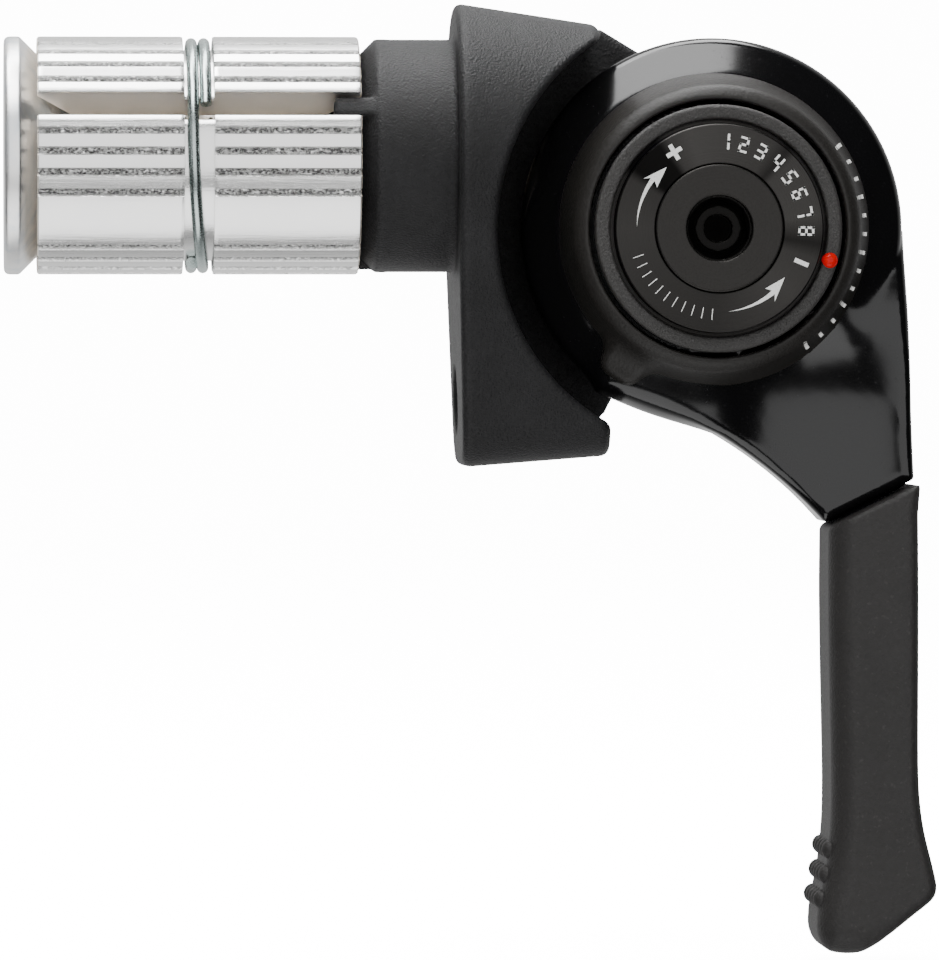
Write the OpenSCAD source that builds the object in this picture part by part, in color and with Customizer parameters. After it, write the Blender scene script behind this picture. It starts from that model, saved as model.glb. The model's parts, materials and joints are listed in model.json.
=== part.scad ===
// Bar-end friction shifter: a lever head on a cast body whose expanding plug grips inside a handlebar end.
//
// Frame: X runs along the plug, and the handlebar ends in the plane X = 0 with the plug on the -X side.
// The lever turns about an axis along Y, the dial faces -Y, and the lever hangs down towards -Z.
// Around the lever's axis, height h is measured from the plug's axis towards the dial, so h = -Y.

/* [Neck and plug] */
// Radius of the neck that slides into the handlebar end
neck_r = 9; // [7.6:0.1:11]
// Length of the neck's plain cylinder
neck_len = 6.1; // [5:0.1:8]
// How far the relaxed plug stands out past the neck
plug_proud = 0.2; // [0.1:0.05:0.4]
// Length of the plug segments
seg_len = 24.8; // [20:0.1:30]
// Wall of the plug segments
seg_wall = 3.4; // [2.8:0.1:4]
// Gap between two segments, in degrees
seg_gap = 12.5; // [10:0.5:15]
// Depth of the grooves between the segments' ribs
rib_depth = 0.35; // [0.2:0.05:0.5]
// Wire of the retaining coil
wire_d = 0.9; // [0.7:0.05:1.1]
// Thickness of the cone nut's rim
nut_rim = 1.2; // [0.8:0.1:2]
// Radius of the expander bolt's thread
bolt_r = 3; // [2.5:0.1:3.5]

/* [Body] */
// Radius of the face that covers the handlebar end
face_r = 11.7; // [10:0.1:14]
// Length of the body past the handlebar end
body_len = 11.3; // [9:0.1:14]
// Narrowing of the body along its length, in degrees
body_taper = 8.7; // [4:0.1:11]
// Wall between the handlebar end and the lever's seat
seat_wall = 2.9; // [2.4:0.1:4]
// Gap around the lever's rim
seat_gap = 2.2; // [1:0.1:3.5]
// Thickness of the floor that carries the lever
floor_t = 4.3; // [3.8:0.1:6]
// Radius of the cable housing's socket
socket_r = 2.6; // [2.2:0.1:3.1]
// Depth of the cable housing's socket
socket_len = 6; // [4.5:0.1:7]

/* [Lever] */
// Radius of the lever's rim
lever_r = 14.8; // [12.3:0.1:18]
// Height of the lever's pivot under the plug's axis
pivot_drop = 5.7; // [4:0.1:8]
// Distance from the pivot to the lower end of the grip
reach = 55.9; // [46:0.1:68]
// Width of the grip, seen from the dial side
grip_w = 7.3; // [6.5:0.1:9]
// Depth of the grip along the pivot's axis
grip_t = 12; // [9:0.1:14]
// Travel of the lever, in degrees
lever_travel = 100; // [70:1:110]

/* [Friction stack] */
// Radius of the pivot sleeve
sleeve_r = 4.6; // [4.4:0.1:5.2]
// Thickness of the cable drum
drum_t = 5.7; // [5.2:0.1:7]
// Thickness of a friction washer
washer_t = 0.8; // [0.5:0.1:1.2]
// Radius of the dial plate
dial_r = 8; // [7.6:0.1:9]
// Radius of the friction bolt's thread
screw_r = 2.5; // [2:0.1:2.5]
// Radius of the friction bolt's head
screw_head_r = 4.9; // [4:0.1:5.2]

/* [Hidden] */

$fn = 96;
tiny = 0.01;
run = 0.05;          // running clearance on a radius
cut = 1;             // how far a cutter runs past a face

// Plug, along X. Both cones are at 45 degrees, so a segment climbs as far as it slides.
plug_r = neck_r + plug_proud;
seg_bore_r = plug_r - seg_wall;
seg_x1 = -neck_len - 1.3;            // right end of the segments, next to the body's cone
seg_x0 = seg_x1 - seg_len;
groove_w = 2.6 * wire_d;
groove_r = plug_r - wire_d - 0.15;   // floor of the coil's groove
coil_r = groove_r + run + wire_d / 2;
coil_step = wire_d + 0.07;           // distance between the coil's turns
seg_turn = [-35, 85, 205];           // middle of each segment, from the dial side upwards
cone_relief = 1.2;                   // the segments' tapers are rounder than the cones that spread them
rib_pitch = 9;                       // degrees
rib_first = 5;                       // degrees from a segment's edge to its first groove
rib_rows = 5;
rib_w = 0.72;
cone_tip_r = bolt_r + 1.4;
bolt_hole_r = bolt_r + 0.2;
nut_x1 = seg_x0 - 1.35;              // where the nut's cone meets its rim
nut_x0 = nut_x1 - nut_rim;
key_span = seg_gap - 3;              // degrees that a fin between two segments takes up

// Expander bolt's head, in a pocket behind the lever's seat
expander_head_r = bolt_r / 0.6;
expander_head_h = 2 * bolt_r;
expander_washer_t = 0.8;
pocket_x = -3;
bolt_head_x = pocket_x + expander_washer_t;

// Lever head
seat_r = lever_r + seat_gap;
head_x = seat_r + seat_wall;
head_z = -pivot_drop;
floor_h = -5.5;
floor_r = lever_r - 1.6;
back_h = floor_h - floor_t;
drum_h0 = floor_h + washer_t;
drum_h1 = drum_h0 + drum_t;
drum_r = lever_r - 0.6;
cable_r = drum_r - 1;                // radius at which the cable wraps
cable_h = (drum_h0 + drum_h1) / 2;
cable_z = head_z - cable_r;
cable_hole_r = 0.9;
socket_wall = 2.4;
body_z0 = cable_z - socket_r - socket_wall;
corner_r = 3;                        // lower corners of the body
corner_y = 4.6;

// Friction stack, from the web of the lever up to the dial
web_t = 3.6;
web_h = drum_h1 + web_t;
plate_t = 0.8;
plate_h = web_h + washer_t;
spring_h = plate_h + plate_t;
spring_rise = 1.2;
spring_t = 0.6;
dial_h0 = spring_h + spring_rise;
dial_flange_t = 1;
ring_h = dial_h0 + dial_flange_t;
boss_h = ring_h + 0.6;               // top of the boss around the dial
dial_h1 = ring_h + 1.7;
screw_head_h = 2.4;
screw_top = dial_h1 + 0.2;
screw_seat = screw_top - screw_head_h;
hex_af = 4;
hex_depth = 2;
skirt_h = spring_h + 0.1;
sleeve_top = screw_seat - 0.9;
flat_y = 0.85 * sleeve_r;            // flats on the sleeve's top
ring_r0 = dial_r + 0.25;
ring_r1 = dial_r + 1.5;
boss_bore_r = ring_r1 + 0.3;
boss_top_r = boss_bore_r + 1;
boss_base_r = boss_bore_r + 2.2;
boss_base_h = drum_h1 + 3.7;
rim_h = drum_h1 + 1.8;               // top of the rim's straight edge
bush_r = sleeve_r + run;
bush_wall = 0.95;
hub_r = bush_r + bush_wall;
washer_r0 = hub_r + 0.1;
lower_washer_r = 8.2;
upper_washer_r = boss_bore_r - 0.6;
seal_r = floor_r - 0.7;
stub_r = 0.83 * sleeve_r;
stub_flat = 0.7 * sleeve_r;
stub_h = 1.2;
skirt_r = hub_r;
dot_r = 0.56;
dot_turn = -16;

// Stop pin and the drum's arc slot
pin_r = 1.2;
pin_at = (seal_r + lower_washer_r) / 2;
pin_turn = 180;
pin_top = drum_h0 + 1.4;
slot_depth = 1.7;
slot_room = 0.15;
slot_spare = asin((pin_r + slot_room) / pin_at);
drum_screw_turns = [45, -60, -130];
drum_screw_r = 1.25;
drum_screw_head_r = 2;
drum_screw_len = drum_t + 2;
nipple_r = 2.35;
nipple_len = 9;
nipple_turn = -15;

// Rear nut, pressed into the floor from behind
nut_body_r = 4.2;
nut_flange_r = 5.5;
nut_flange_t = 1.4;
nut_depth = 2.9;

// Lever's arm and grip, in the plane of the dial: x to the right and y up from the pivot
grip_x0 = lever_r - 6.1;
grip_x1 = grip_x0 + grip_w;
end_slope = 26;                      // of the joint between the arm and the cover
grip_y1 = -lever_r - 4.8;            // upper right corner of the cover
grip_y0 = grip_y1 - grip_w * tan(end_slope);
joint_gap = 0.35;
foot_h = 9.9;                        // height of the flared foot
toe_r = 2.2;
heel_r = 1.5;
arm_h0 = drum_h0 + 0.9;
arm_h1 = drum_h1 + 3.4;
grip_mid = (arm_h0 + arm_h1) / 2;
scoop_r = 33.6;                      // hollow under the arm
scoop_from = [grip_x0 - 0.4, grip_y0 + joint_gap];
scoop_to = (lever_r + 0.4) * [cos(-123), sin(-123)];
tongue_w = grip_w - 3.4;
tongue_t = grip_t - 6;
tab_turn = -125;
tab_w = 3.4;
tab_rise = 1.2;                      // how far the tab stands up from the ring's foot

// ---------------------------------------------------------------- helpers

// Puts a piece on the lever's axis at height h, with its z towards the dial
module at_head(h = 0) {
    translate([head_x, -h, head_z]) rotate([90, 0, 0]) children();
}

// Puts a piece on the plug's axis, with its z along +X
module at_plug(x = 0) {
    translate([x, 0, 0]) rotate([0, 90, 0]) children();
}

// Turns a piece on the plug, counted from the dial side upwards
module plug_turn(turn) {
    rotate([-turn, 0, 0]) children();
}

module ring(r_out, r_in, h) {
    difference() {
        cylinder(r = r_out, h = h);
        translate([0, 0, -cut]) cylinder(r = r_in, h = h + 2 * cut);
    }
}

// A round with two flats, as a shape
module double_d(r, flat) {
    intersection() {
        circle(r = r);
        square([2 * r + 1, 2 * flat], center = true);
    }
}

// Joins rings of points into a closed tube
module tube(rings) {
    n = len(rings[0]);
    last = len(rings) - 1;
    sides = [for (i = [0:last - 1], k = [0:n - 1])
        [i * n + k, i * n + (k + 1) % n, (i + 1) * n + (k + 1) % n, (i + 1) * n + k]];
    ends = [[for (k = [n - 1:-1:0]) k], [for (k = [0:n - 1]) last * n + k]];
    polyhedron(points = [for (r = rings, p = r) p], faces = concat(sides, ends), convexity = 8);
}

// ---------------------------------------------------------------- body

// Outline of the body across the plug: round over the bar, square below it around the cable
module body_slice(x, shrink) {
    translate([x, 0, 0]) rotate([90, 0, 90]) linear_extrude(tiny) {
        circle(r = face_r - shrink, $fn = 64);
        for (side = [-1, 1])
            translate([side * (corner_y - shrink / 3), body_z0 + shrink / 2 + corner_r])
                circle(r = corner_r, $fn = 32);
    }
}

module body_block() {
    hull() {
        body_slice(0, 0);
        body_slice(body_len - tiny, body_len * tan(body_taper));
    }
}

// The floor under the lever, with a web to the body's upper edge
module floor_outline() {
    top = face_r - body_len * tan(body_taper);
    circle(r = floor_r);
    reach_x = body_len + 0.9 - head_x;
    away = norm([reach_x, top - head_z]);
    lean = atan2(top - head_z, reach_x) - acos(floor_r / away);
    polygon([
        [reach_x, top - head_z],
        floor_r * [cos(lean), sin(lean)],
        [0, 0],
        [reach_x, body_z0 + 4 - head_z],
        [reach_x - 5, body_z0 + 4 - head_z],
        [reach_x - 5, top - head_z],
    ]);
}

// Fins that stand in the cuts between the segments and stop them turning
module plug_keys() {
    for (turn = seg_turn)
        plug_turn(turn + 60) at_plug(seg_x1 - 2.1) rotate(-90 - key_span / 2)
            rotate_extrude(angle = key_span)
                translate([cone_tip_r, 0]) square([plug_r - 0.4 - cone_tip_r, 3.1 - neck_len - seg_x1]);
}

module pod_body() {
    color("#1c1c1d") difference() {
        union() {
            at_plug(-neck_len) cylinder(r = neck_r, h = neck_len + 1);
            at_plug(-neck_len - neck_r + cone_tip_r)
                cylinder(r1 = cone_tip_r, r2 = neck_r, h = neck_r - cone_tip_r);
            intersection() {
                plug_keys();
                at_plug(seg_x1 - 3) cylinder(r = neck_r, h = 8);
            }
            body_block();
            at_head(back_h) linear_extrude(floor_t) floor_outline();
        }
        at_head(floor_h) difference() {
            cylinder(r = seat_r, h = 40);
            translate([0, 0, -cut]) linear_extrude(stub_h + cut) double_d(stub_r, stub_flat);
        }
        at_plug(-40) cylinder(r = bolt_hole_r, h = 60);
        at_plug(pocket_x) cylinder(r = expander_head_r + 0.4, h = head_x - pocket_x - floor_r + 4);
        at_head(back_h - cut) cylinder(r = screw_r + 0.1, h = 20);
        at_head(back_h - cut) cylinder(r = nut_body_r, h = nut_depth + cut);
        at_head(back_h - cut) linear_extrude(nut_flange_t + cut) double_d(nut_flange_r, 0.85 * nut_flange_r);
        at_head(back_h + 1.5) rotate([0, 0, pin_turn]) translate([pin_at, 0, 0]) cylinder(r = pin_r, h = floor_t);
        translate([0, -cable_h, cable_z]) {
            translate([-cut, 0, 0]) rotate([0, 90, 0]) cylinder(r = socket_r, h = socket_len + cut);
            rotate([0, 90, 0]) cylinder(r = cable_hole_r, h = 20);
        }
    }
}

module rear_nut() {
    color("#9a9a98") at_head(back_h) difference() {
        union() {
            linear_extrude(nut_flange_t) double_d(nut_flange_r, 0.85 * nut_flange_r);
            cylinder(r = nut_body_r, h = nut_depth);
        }
        translate([0, 0, -cut]) cylinder(r = screw_r + run, h = nut_depth + 2 * cut);
    }
}

module stop_pin() {
    color("#b5b5b2") at_head(back_h + 1.5) rotate([0, 0, pin_turn]) translate([pin_at, 0, 0])
        cylinder(r = pin_r, h = pin_top - back_h - 1.5);
}

// ---------------------------------------------------------------- pivot and friction stack

module pivot_sleeve() {
    color("#b8b8b4") difference() {
        union() {
            at_head(floor_h) cylinder(r = sleeve_r, h = plate_h - floor_h);
            at_head(plate_h) linear_extrude(sleeve_top - plate_h) double_d(sleeve_r, flat_y);
        }
        at_head(floor_h - cut) cylinder(r = screw_r + 0.1, h = 30);
        at_head(floor_h - cut) linear_extrude(stub_h + 0.1 + cut) double_d(stub_r + run, stub_flat + run);
    }
}

module pivot_bush() {
    color("#b08d4f") at_head(drum_h0) ring(hub_r, bush_r, web_h - drum_h0);
}

module lower_friction_washer() {
    color("#5b4a36") at_head(floor_h) ring(lower_washer_r, washer_r0, washer_t);
}

module upper_friction_washer() {
    color("#5b4a36") at_head(web_h) ring(upper_washer_r, washer_r0, washer_t);
}

module dust_seal() {
    color("#202020") at_head(floor_h + washer_t / 2)
        rotate_extrude() translate([seal_r, 0]) circle(r = washer_t / 2, $fn = 24);
}

module pressure_plate() {
    color("#a9a9a6") at_head(plate_h) difference() {
        cylinder(r = upper_washer_r, h = plate_t);
        translate([0, 0, -cut]) linear_extrude(plate_t + 2 * cut) double_d(sleeve_r + run, flat_y + run);
    }
}

// A cone washer: its rim stands on the pressure plate and its bore lifts the dial plate
module spring_washer() {
    r0 = skirt_r + 0.3;
    r1 = upper_washer_r - 0.2;
    color("#8f8f8d") at_head(spring_h) rotate_extrude()
        polygon([[r1, 0], [r1, spring_t], [r0, spring_rise], [r0, spring_rise - spring_t]]);
}

module dial_plate() {
    color("#242425") difference() {
        union() {
            at_head(dial_h0) cylinder(r = dial_r + 1.3, h = dial_flange_t);
            at_head(dial_h0) cylinder(r = dial_r, h = dial_h1 - dial_h0);
            at_head(skirt_h) cylinder(r = skirt_r, h = dial_h0 - skirt_h + tiny);
        }
        at_head(skirt_h - cut) linear_extrude(sleeve_top - skirt_h + 0.1 + cut)
            double_d(sleeve_r + run, flat_y + run);
        at_head(skirt_h - cut) cylinder(r = screw_r + 0.1, h = 20);
        at_head(screw_seat) cylinder(r = screw_head_r + 0.1, h = 20);
    }
}

module dot_place() {
    at_head(ring_h) rotate([0, 0, dot_turn]) translate([(ring_r0 + ring_r1) / 2, 0, 0]) children();
}

module pointer_ring() {
    color("#2c2a28") difference() {
        at_head(ring_h) ring(ring_r1, ring_r0, dial_h1 - 0.6 - ring_h);
        dot_place() translate([0, 0, 0.4]) cylinder(r = dot_r, h = 5, $fn = 32);
    }
}

module red_dot() {
    color("#d01018") dot_place() translate([0, 0, 0.4])
        cylinder(r = dot_r, h = dial_h1 - 0.55 - ring_h - 0.4, $fn = 32);
}

module friction_bolt() {
    color("#1f1f20") difference() {
        union() {
            at_head(screw_seat) cylinder(r = screw_head_r, h = screw_head_h);
            at_head(back_h + 0.5) cylinder(r = screw_r, h = screw_seat - back_h - 0.4);
        }
        at_head(screw_top - hex_depth) cylinder(r = hex_af / 2 / cos(30), h = 5, $fn = 6);
        at_head(screw_top - hex_depth - 0.7) cylinder(r = 1.07, h = 3, $fn = 48);
        at_head(screw_top - 0.3) cylinder(r1 = hex_af / 2 / cos(30) - 0.2, r2 = hex_af / 2 + 0.65, h = 0.5);
    }
}

// ---------------------------------------------------------------- lever

module arm_outline() {
    half = (scoop_to - scoop_from) / 2;
    side = [-half[1], half[0]] / norm(half);
    centre = scoop_from + half + side * sqrt(scoop_r * scoop_r - half * half);
    difference() {
        polygon([
            [lever_r, 0],
            [grip_x1 - 0.7, grip_y1 + joint_gap + 0.15],
            scoop_from,
            scoop_to,
            [0, 0],
        ]);
        translate(centre) circle(r = scoop_r, $fn = 240);
    }
}

module tongue() {
    at_head(grip_mid - tongue_t / 2) linear_extrude(tongue_t)
        translate([(grip_x0 + grip_x1 - tongue_w) / 2, -reach + foot_h / 2])
            square([tongue_w, reach - foot_h / 2 + grip_y1 - 1]);
}

// The lever's round part, which slopes up from its rim to the boss ring
module lever_disc() {
    at_head(drum_h1) cylinder(r = lever_r, h = rim_h - drum_h1);
    at_head(rim_h) cylinder(r1 = lever_r, r2 = boss_base_r, h = boss_base_h - rim_h);
}

module lever_arm() {
    at_head(arm_h0) linear_extrude(arm_h1 - arm_h0) arm_outline();
}

module lever() {
    color("#121213") difference() {
        union() {
            lever_disc();
            lever_arm();
            tongue();
        }
        at_head(web_h) cylinder(r = boss_bore_r, h = 20);
        at_head(drum_h0 - cut) cylinder(r = hub_r, h = 20);
        at_head(arm_h0 - cut) cylinder(r = drum_r + 0.3, h = drum_h1 - arm_h0 + cut);
        drum_screw_places() cylinder(r = drum_screw_r, h = drum_screw_len + 0.3, $fn = 24);
    }
}

// The ring around the dial, with a tab that reaches over the lever's slope
module boss_ring() {
    color("#232324") difference() {
        union() {
            at_head(boss_base_h) cylinder(r1 = boss_base_r, r2 = boss_top_r, h = boss_h - boss_base_h);
            at_head(rim_h) rotate([0, 0, tab_turn]) translate([boss_bore_r + 0.6, -tab_w / 2, 0])
                cube([lever_r - boss_bore_r - 1, tab_w, boss_base_h - rim_h + tab_rise]);
        }
        lever_disc();
        lever_arm();
        at_head(web_h) cylinder(r = boss_bore_r, h = 20);
    }
}

// Seen from the dial, one convex part of the grip: full width in its middle, narrower at its two faces
module padded(edge) {
    at_head(grip_mid) hull() {
        translate([0, 0, -grip_t / 2 + edge]) linear_extrude(grip_t - 2 * edge) children();
        translate([0, 0, -grip_t / 2]) linear_extrude(grip_t) offset(delta = -edge * 0.6) children();
    }
}

module grip_bar_outline() {
    polygon([
        [grip_x0, grip_y0], [grip_x1, grip_y1],
        [grip_x1 + 0.2, -reach + foot_h], [grip_x0 + 0.1, -reach + foot_h],
    ]);
}

module grip_foot_outline() {
    hull() {
        translate([grip_x0 + toe_r - 1, -reach + toe_r]) circle(r = toe_r, $fn = 32);
        translate([grip_x1 - heel_r + 1.45, -reach + 5.1]) circle(r = heel_r, $fn = 32);
        translate([grip_x0 + 0.1, -reach + foot_h]) square([grip_w + 0.1, 0.5]);
    }
}

module lever_cover() {
    color("#2b2a29") difference() {
        union() {
            padded(1.6) grip_bar_outline();
            padded(1.6) grip_foot_outline();
        }
        tongue();
    }
}

// ---------------------------------------------------------------- cable drum

module drum_screw_places() {
    for (turn = drum_screw_turns)
        at_head(drum_h0) rotate([0, 0, turn]) translate([pin_at, 0, 0]) children();
}

module drum_screw() {
    cylinder(r1 = drum_screw_head_r, r2 = drum_screw_r, h = drum_screw_head_r - drum_screw_r, $fn = 32);
    cylinder(r = drum_screw_r, h = drum_screw_len, $fn = 24);
}

module drum_screws() {
    color("#a0a09e") drum_screw_places() drum_screw();
}

module cable_drum() {
    color("#3a3a3c") difference() {
        at_head(drum_h0) ring(drum_r, hub_r, drum_t);
        at_head(cable_h) rotate_extrude() union() {
            translate([cable_r, 0]) circle(r = 0.75, $fn = 24);
            translate([cable_r, -0.75]) square([3, 1.5]);
        }
        at_head(drum_h0 - cut) rotate([0, 0, pin_turn - lever_travel - slot_spare])
            rotate_extrude(angle = lever_travel + 2 * slot_spare)
                translate([pin_at - pin_r - slot_room, 0]) square([2 * (pin_r + slot_room), slot_depth + cut]);
        at_head(cable_h) rotate([0, 0, nipple_turn]) translate([cable_r - 1, -1, 0]) rotate([-90, 0, 0])
            cylinder(r = nipple_r, h = nipple_len, $fn = 48);
        drum_screw_places() drum_screw();
    }
}

// ---------------------------------------------------------------- expanding plug

module expander_washer() {
    color("#b7b7b3") at_plug(pocket_x) ring(expander_head_r + 0.2, bolt_hole_r, expander_washer_t);
}

module expander_bolt() {
    color("#c4beb0") difference() {
        union() {
            at_plug(nut_x0 + 0.5) cylinder(r = bolt_r, h = bolt_head_x - nut_x0 - 0.4);
            at_plug(bolt_head_x) cylinder(r = expander_head_r, h = expander_head_h);
        }
        at_plug(bolt_head_x + expander_head_h / 2)
            cylinder(r = expander_head_r / 2 / cos(30), h = expander_head_h, $fn = 6);
    }
}

module cone_nut() {
    tip_h = plug_r - cone_tip_r;
    color("#b9bab6") difference() {
        union() {
            at_plug(nut_x0) cylinder(r = plug_r, h = nut_rim);
            at_plug(nut_x1) cylinder(r1 = plug_r, r2 = cone_tip_r, h = tip_h);
        }
        at_plug(nut_x0 - cut) cylinder(r = bolt_r + run, h = nut_rim + tip_h + 2 * cut);
    }
}

// A third of the ribbed tube, with its middle along +x
module segment_outline() {
    far = 3 * plug_r;
    edge = 60 - seg_gap / 2;
    difference() {
        circle(r = plug_r);
        circle(r = seg_bore_r);
        for (side = [-1, 1], row = [0:rib_rows - 1])
            rotate(side * (edge - rib_first - row * rib_pitch))
                translate([plug_r - rib_depth, -rib_w / 2]) square([2, rib_w]);
        rotate(edge) translate([-far, 0]) square([2 * far, far]);
        rotate(-edge) translate([-far, -far]) square([2 * far, far]);
    }
}

// One segment. Its two tapers are cut by cones set back from its middle, so that it stays clear as it spreads
module plug_segment(turn) {
    taper_r = seg_wall + cone_relief + 1;
    left_r = plug_r - (seg_x0 - nut_x1) + run + cone_relief;
    right_r = neck_r - (-neck_len - seg_x1) + run + cone_relief;
    plug_turn(turn) difference() {
        at_plug(seg_x0) rotate(-90) linear_extrude(seg_len) segment_outline();
        translate([0, cone_relief, 0]) {
            at_plug(seg_x0 - tiny) cylinder(r1 = left_r + tiny, r2 = left_r - taper_r, h = taper_r + tiny);
            at_plug(seg_x1 - taper_r) cylinder(r1 = right_r - taper_r, r2 = right_r + tiny, h = taper_r + tiny);
        }
        at_plug((seg_x0 + seg_x1 - groove_w) / 2) ring(plug_r + 2, groove_r, groove_w);
    }
}

module plug_segment_a() {
    color("#d3d5d4") plug_segment(seg_turn[0]);
}

module plug_segment_b() {
    color("#d3d5d4") plug_segment(seg_turn[1]);
}

module plug_segment_c() {
    color("#d3d5d4") plug_segment(seg_turn[2]);
}

// The coil starts in front, goes over the top and round, crosses beside its own start, and ends underneath
function coil_x(turn) =
    let (t = min(max((turn - 250) / 125, 0), 1))
    (seg_x0 + seg_x1) / 2 + coil_step * (0.5 - t * t * (3 - 2 * t));

module retaining_coil() {
    from = 26;
    to = 646;
    step = 12.4;
    color("#aeb9b6") tube([for (turn = [from:step:to])
        [for (k = [0:9]) let (r = coil_r + wire_d / 2 * cos(36 * k))
            [coil_x(turn) + wire_d / 2 * sin(36 * k), -r * cos(turn), r * sin(turn)]]]);
}

// ---------------------------------------------------------------- nodes

pod_body();
rear_nut();
stop_pin();
pivot_sleeve();
lower_friction_washer();
dust_seal();
pressure_plate();
expander_washer();
lever();
boss_ring();
lever_cover();
cable_drum();
drum_screws();
pivot_bush();
upper_friction_washer();
spring_washer();
dial_plate();
pointer_ring();
red_dot();
friction_bolt();
expander_bolt();
cone_nut();
plug_segment_a();
plug_segment_b();
plug_segment_c();
retaining_coil();
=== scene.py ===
import json
import math

import bpy
import numpy as np
from bpy.props import FloatProperty, FloatVectorProperty, IntProperty, PointerProperty
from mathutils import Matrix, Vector

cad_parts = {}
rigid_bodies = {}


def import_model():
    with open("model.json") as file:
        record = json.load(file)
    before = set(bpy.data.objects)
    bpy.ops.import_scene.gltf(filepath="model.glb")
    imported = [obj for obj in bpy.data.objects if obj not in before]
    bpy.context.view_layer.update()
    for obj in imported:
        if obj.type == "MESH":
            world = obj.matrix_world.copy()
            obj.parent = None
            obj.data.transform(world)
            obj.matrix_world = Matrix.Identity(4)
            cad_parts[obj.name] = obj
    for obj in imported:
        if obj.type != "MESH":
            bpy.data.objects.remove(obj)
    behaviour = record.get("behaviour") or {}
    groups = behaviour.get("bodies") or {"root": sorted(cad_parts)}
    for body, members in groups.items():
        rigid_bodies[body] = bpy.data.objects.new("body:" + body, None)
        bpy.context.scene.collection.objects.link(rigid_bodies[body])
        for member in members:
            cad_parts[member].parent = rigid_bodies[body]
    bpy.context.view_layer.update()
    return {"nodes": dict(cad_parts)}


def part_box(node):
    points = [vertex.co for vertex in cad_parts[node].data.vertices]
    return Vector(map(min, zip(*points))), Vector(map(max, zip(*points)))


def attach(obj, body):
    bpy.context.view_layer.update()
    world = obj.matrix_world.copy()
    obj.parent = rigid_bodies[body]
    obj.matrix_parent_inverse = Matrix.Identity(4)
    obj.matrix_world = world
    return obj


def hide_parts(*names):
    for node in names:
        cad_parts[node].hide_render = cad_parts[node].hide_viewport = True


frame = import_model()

bl_info = {
    "name": "Bar-end shifter",
    "version": (1, 0, 0),
    "blender": (4, 5, 0),
    "location": "View3D > Sidebar > Shifter",
    "description": "Builds the visible shapes and finishes of a bar-end friction shifter around its frame",
    "category": "Object",
}

MM = 0.001
FAR = 60                                      # mm, beyond every face of the pieces cut with it


# ------------------------------------------------------------------ sizes read from the frame, in mm

def box_mm(node):
    low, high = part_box(node)
    return np.array(low) / MM, np.array(high) / MM


BOLT_LOW, BOLT_HIGH = box_mm("friction_bolt")
HEAD_X = (BOLT_LOW[0] + BOLT_HIGH[0]) / 2
HEAD_Z = (BOLT_LOW[2] + BOLT_HIGH[2]) / 2
HEAD = np.array([HEAD_X, 0, HEAD_Z])
BOLT_TOP = -BOLT_LOW[1]                       # heights run from the pivot's middle towards the dial
DIAL_TOP = -box_mm("dial_plate")[0][1]
RING_TOP = -box_mm("pointer_ring")[0][1]
BOSS_TOP = -box_mm("boss_ring")[0][1]
SEG_LOW, SEG_HIGH = box_mm("plug_segment_a")
SEG_X0, SEG_X1 = SEG_LOW[0], SEG_HIGH[0]
NUT_LOW, NUT_HIGH = box_mm("cone_nut")
PLUG_R = NUT_HIGH[2]
NUT_X0, NUT_TIP_X = NUT_LOW[0], NUT_HIGH[0]
BODY_BASE = box_mm("pod_body")[0][2]

# Radii and heights on the pivot's axis
SEAT_R = 17.0
FLOOR_H, FLOOR_R = -5.5, 13.2
BACK_H = -9.8
DRUM_R, DRUM_H1 = 14.2, 1.0
LEVER_R = 14.8
RIM_H, RIM_LEAN = 2.8, 0.597                 # the bevel around the rim leans by this many radians
WEB_H = 4.6
BOSS_BASE_R, BOSS_BASE_H, BOSS_LEAN = 12.0, 4.7, 0.272
LOBE_TURN, POINTER_TURN = -124, -16            # degrees up from the right
MARK_R = 11.62
BOSS_BORE_R = 9.8
HUB_R = 5.6
RING_R0, RING_R1 = 8.25, 9.5
DIAL_R = 8.0
HEAD_SCREW_R = 4.9
SCREW_SEAT = 7.9
SCREW_R = 2.5
ARM_H0, ARM_H1 = -3.8, 4.4

# Plug
NECK_R, NECK_X = 9.0, -6.1
TIP_R = 4.4
BOLT_R = 3.0
SEG_BORE_R = 5.8
SEG_HALF = 53.75                              # degrees from a segment's middle to its cut face
SEG_TURNS = {"a": -35, "b": 85, "c": 205}
GAP_TURNS = (25, 145, 265)
GROOVE_R, GROOVE_HALF = 8.15, 1.17
GROOVE_X = (SEG_X0 + SEG_X1) / 2
COIL_R = 8.65
COIL_STEP = 0.97


# ------------------------------------------------------------------ user sizes and colours

def colour_prop(name, description, default):
    return FloatVectorProperty(name=name, description=description, default=default, size=3,
                               subtype="COLOR", min=0, max=1)


def size_prop(name, description, default, low, high):
    """A length, from values in millimetres"""
    return FloatProperty(name=name, description=description, default=default * MM, unit="LENGTH",
                         min=low * MM, max=high * MM)


class ShifterSizes(bpy.types.PropertyGroup):
    """Sizes of the visible details"""
    rib_depth: size_prop("Rib depth", "Depth of the grooves along the plug", 0.35, 0.1, 0.6)
    wire: size_prop("Wire", "Diameter of the retaining coil's wire", 0.9, 0.5, 1.2)
    pitch: size_prop("Thread pitch", "Distance between the bolt's crests", 1.0, 0.5, 1.5)
    grip_rib_pitch: size_prop("Grip rib pitch", "Distance between the grip's fine ribs", 0.5, 0.3, 1.5)
    nub: size_prop("Nub", "Diameter of the nubs at the grip's foot", 1.55, 0.8, 2.2)
    nub_rows: IntProperty(name="Nub rows", description="Rows of nubs at the grip's foot", default=3, min=1, max=6)
    print_height: size_prop("Print height", "How far the print stands up", 0.03, 0.01, 0.2)


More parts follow.
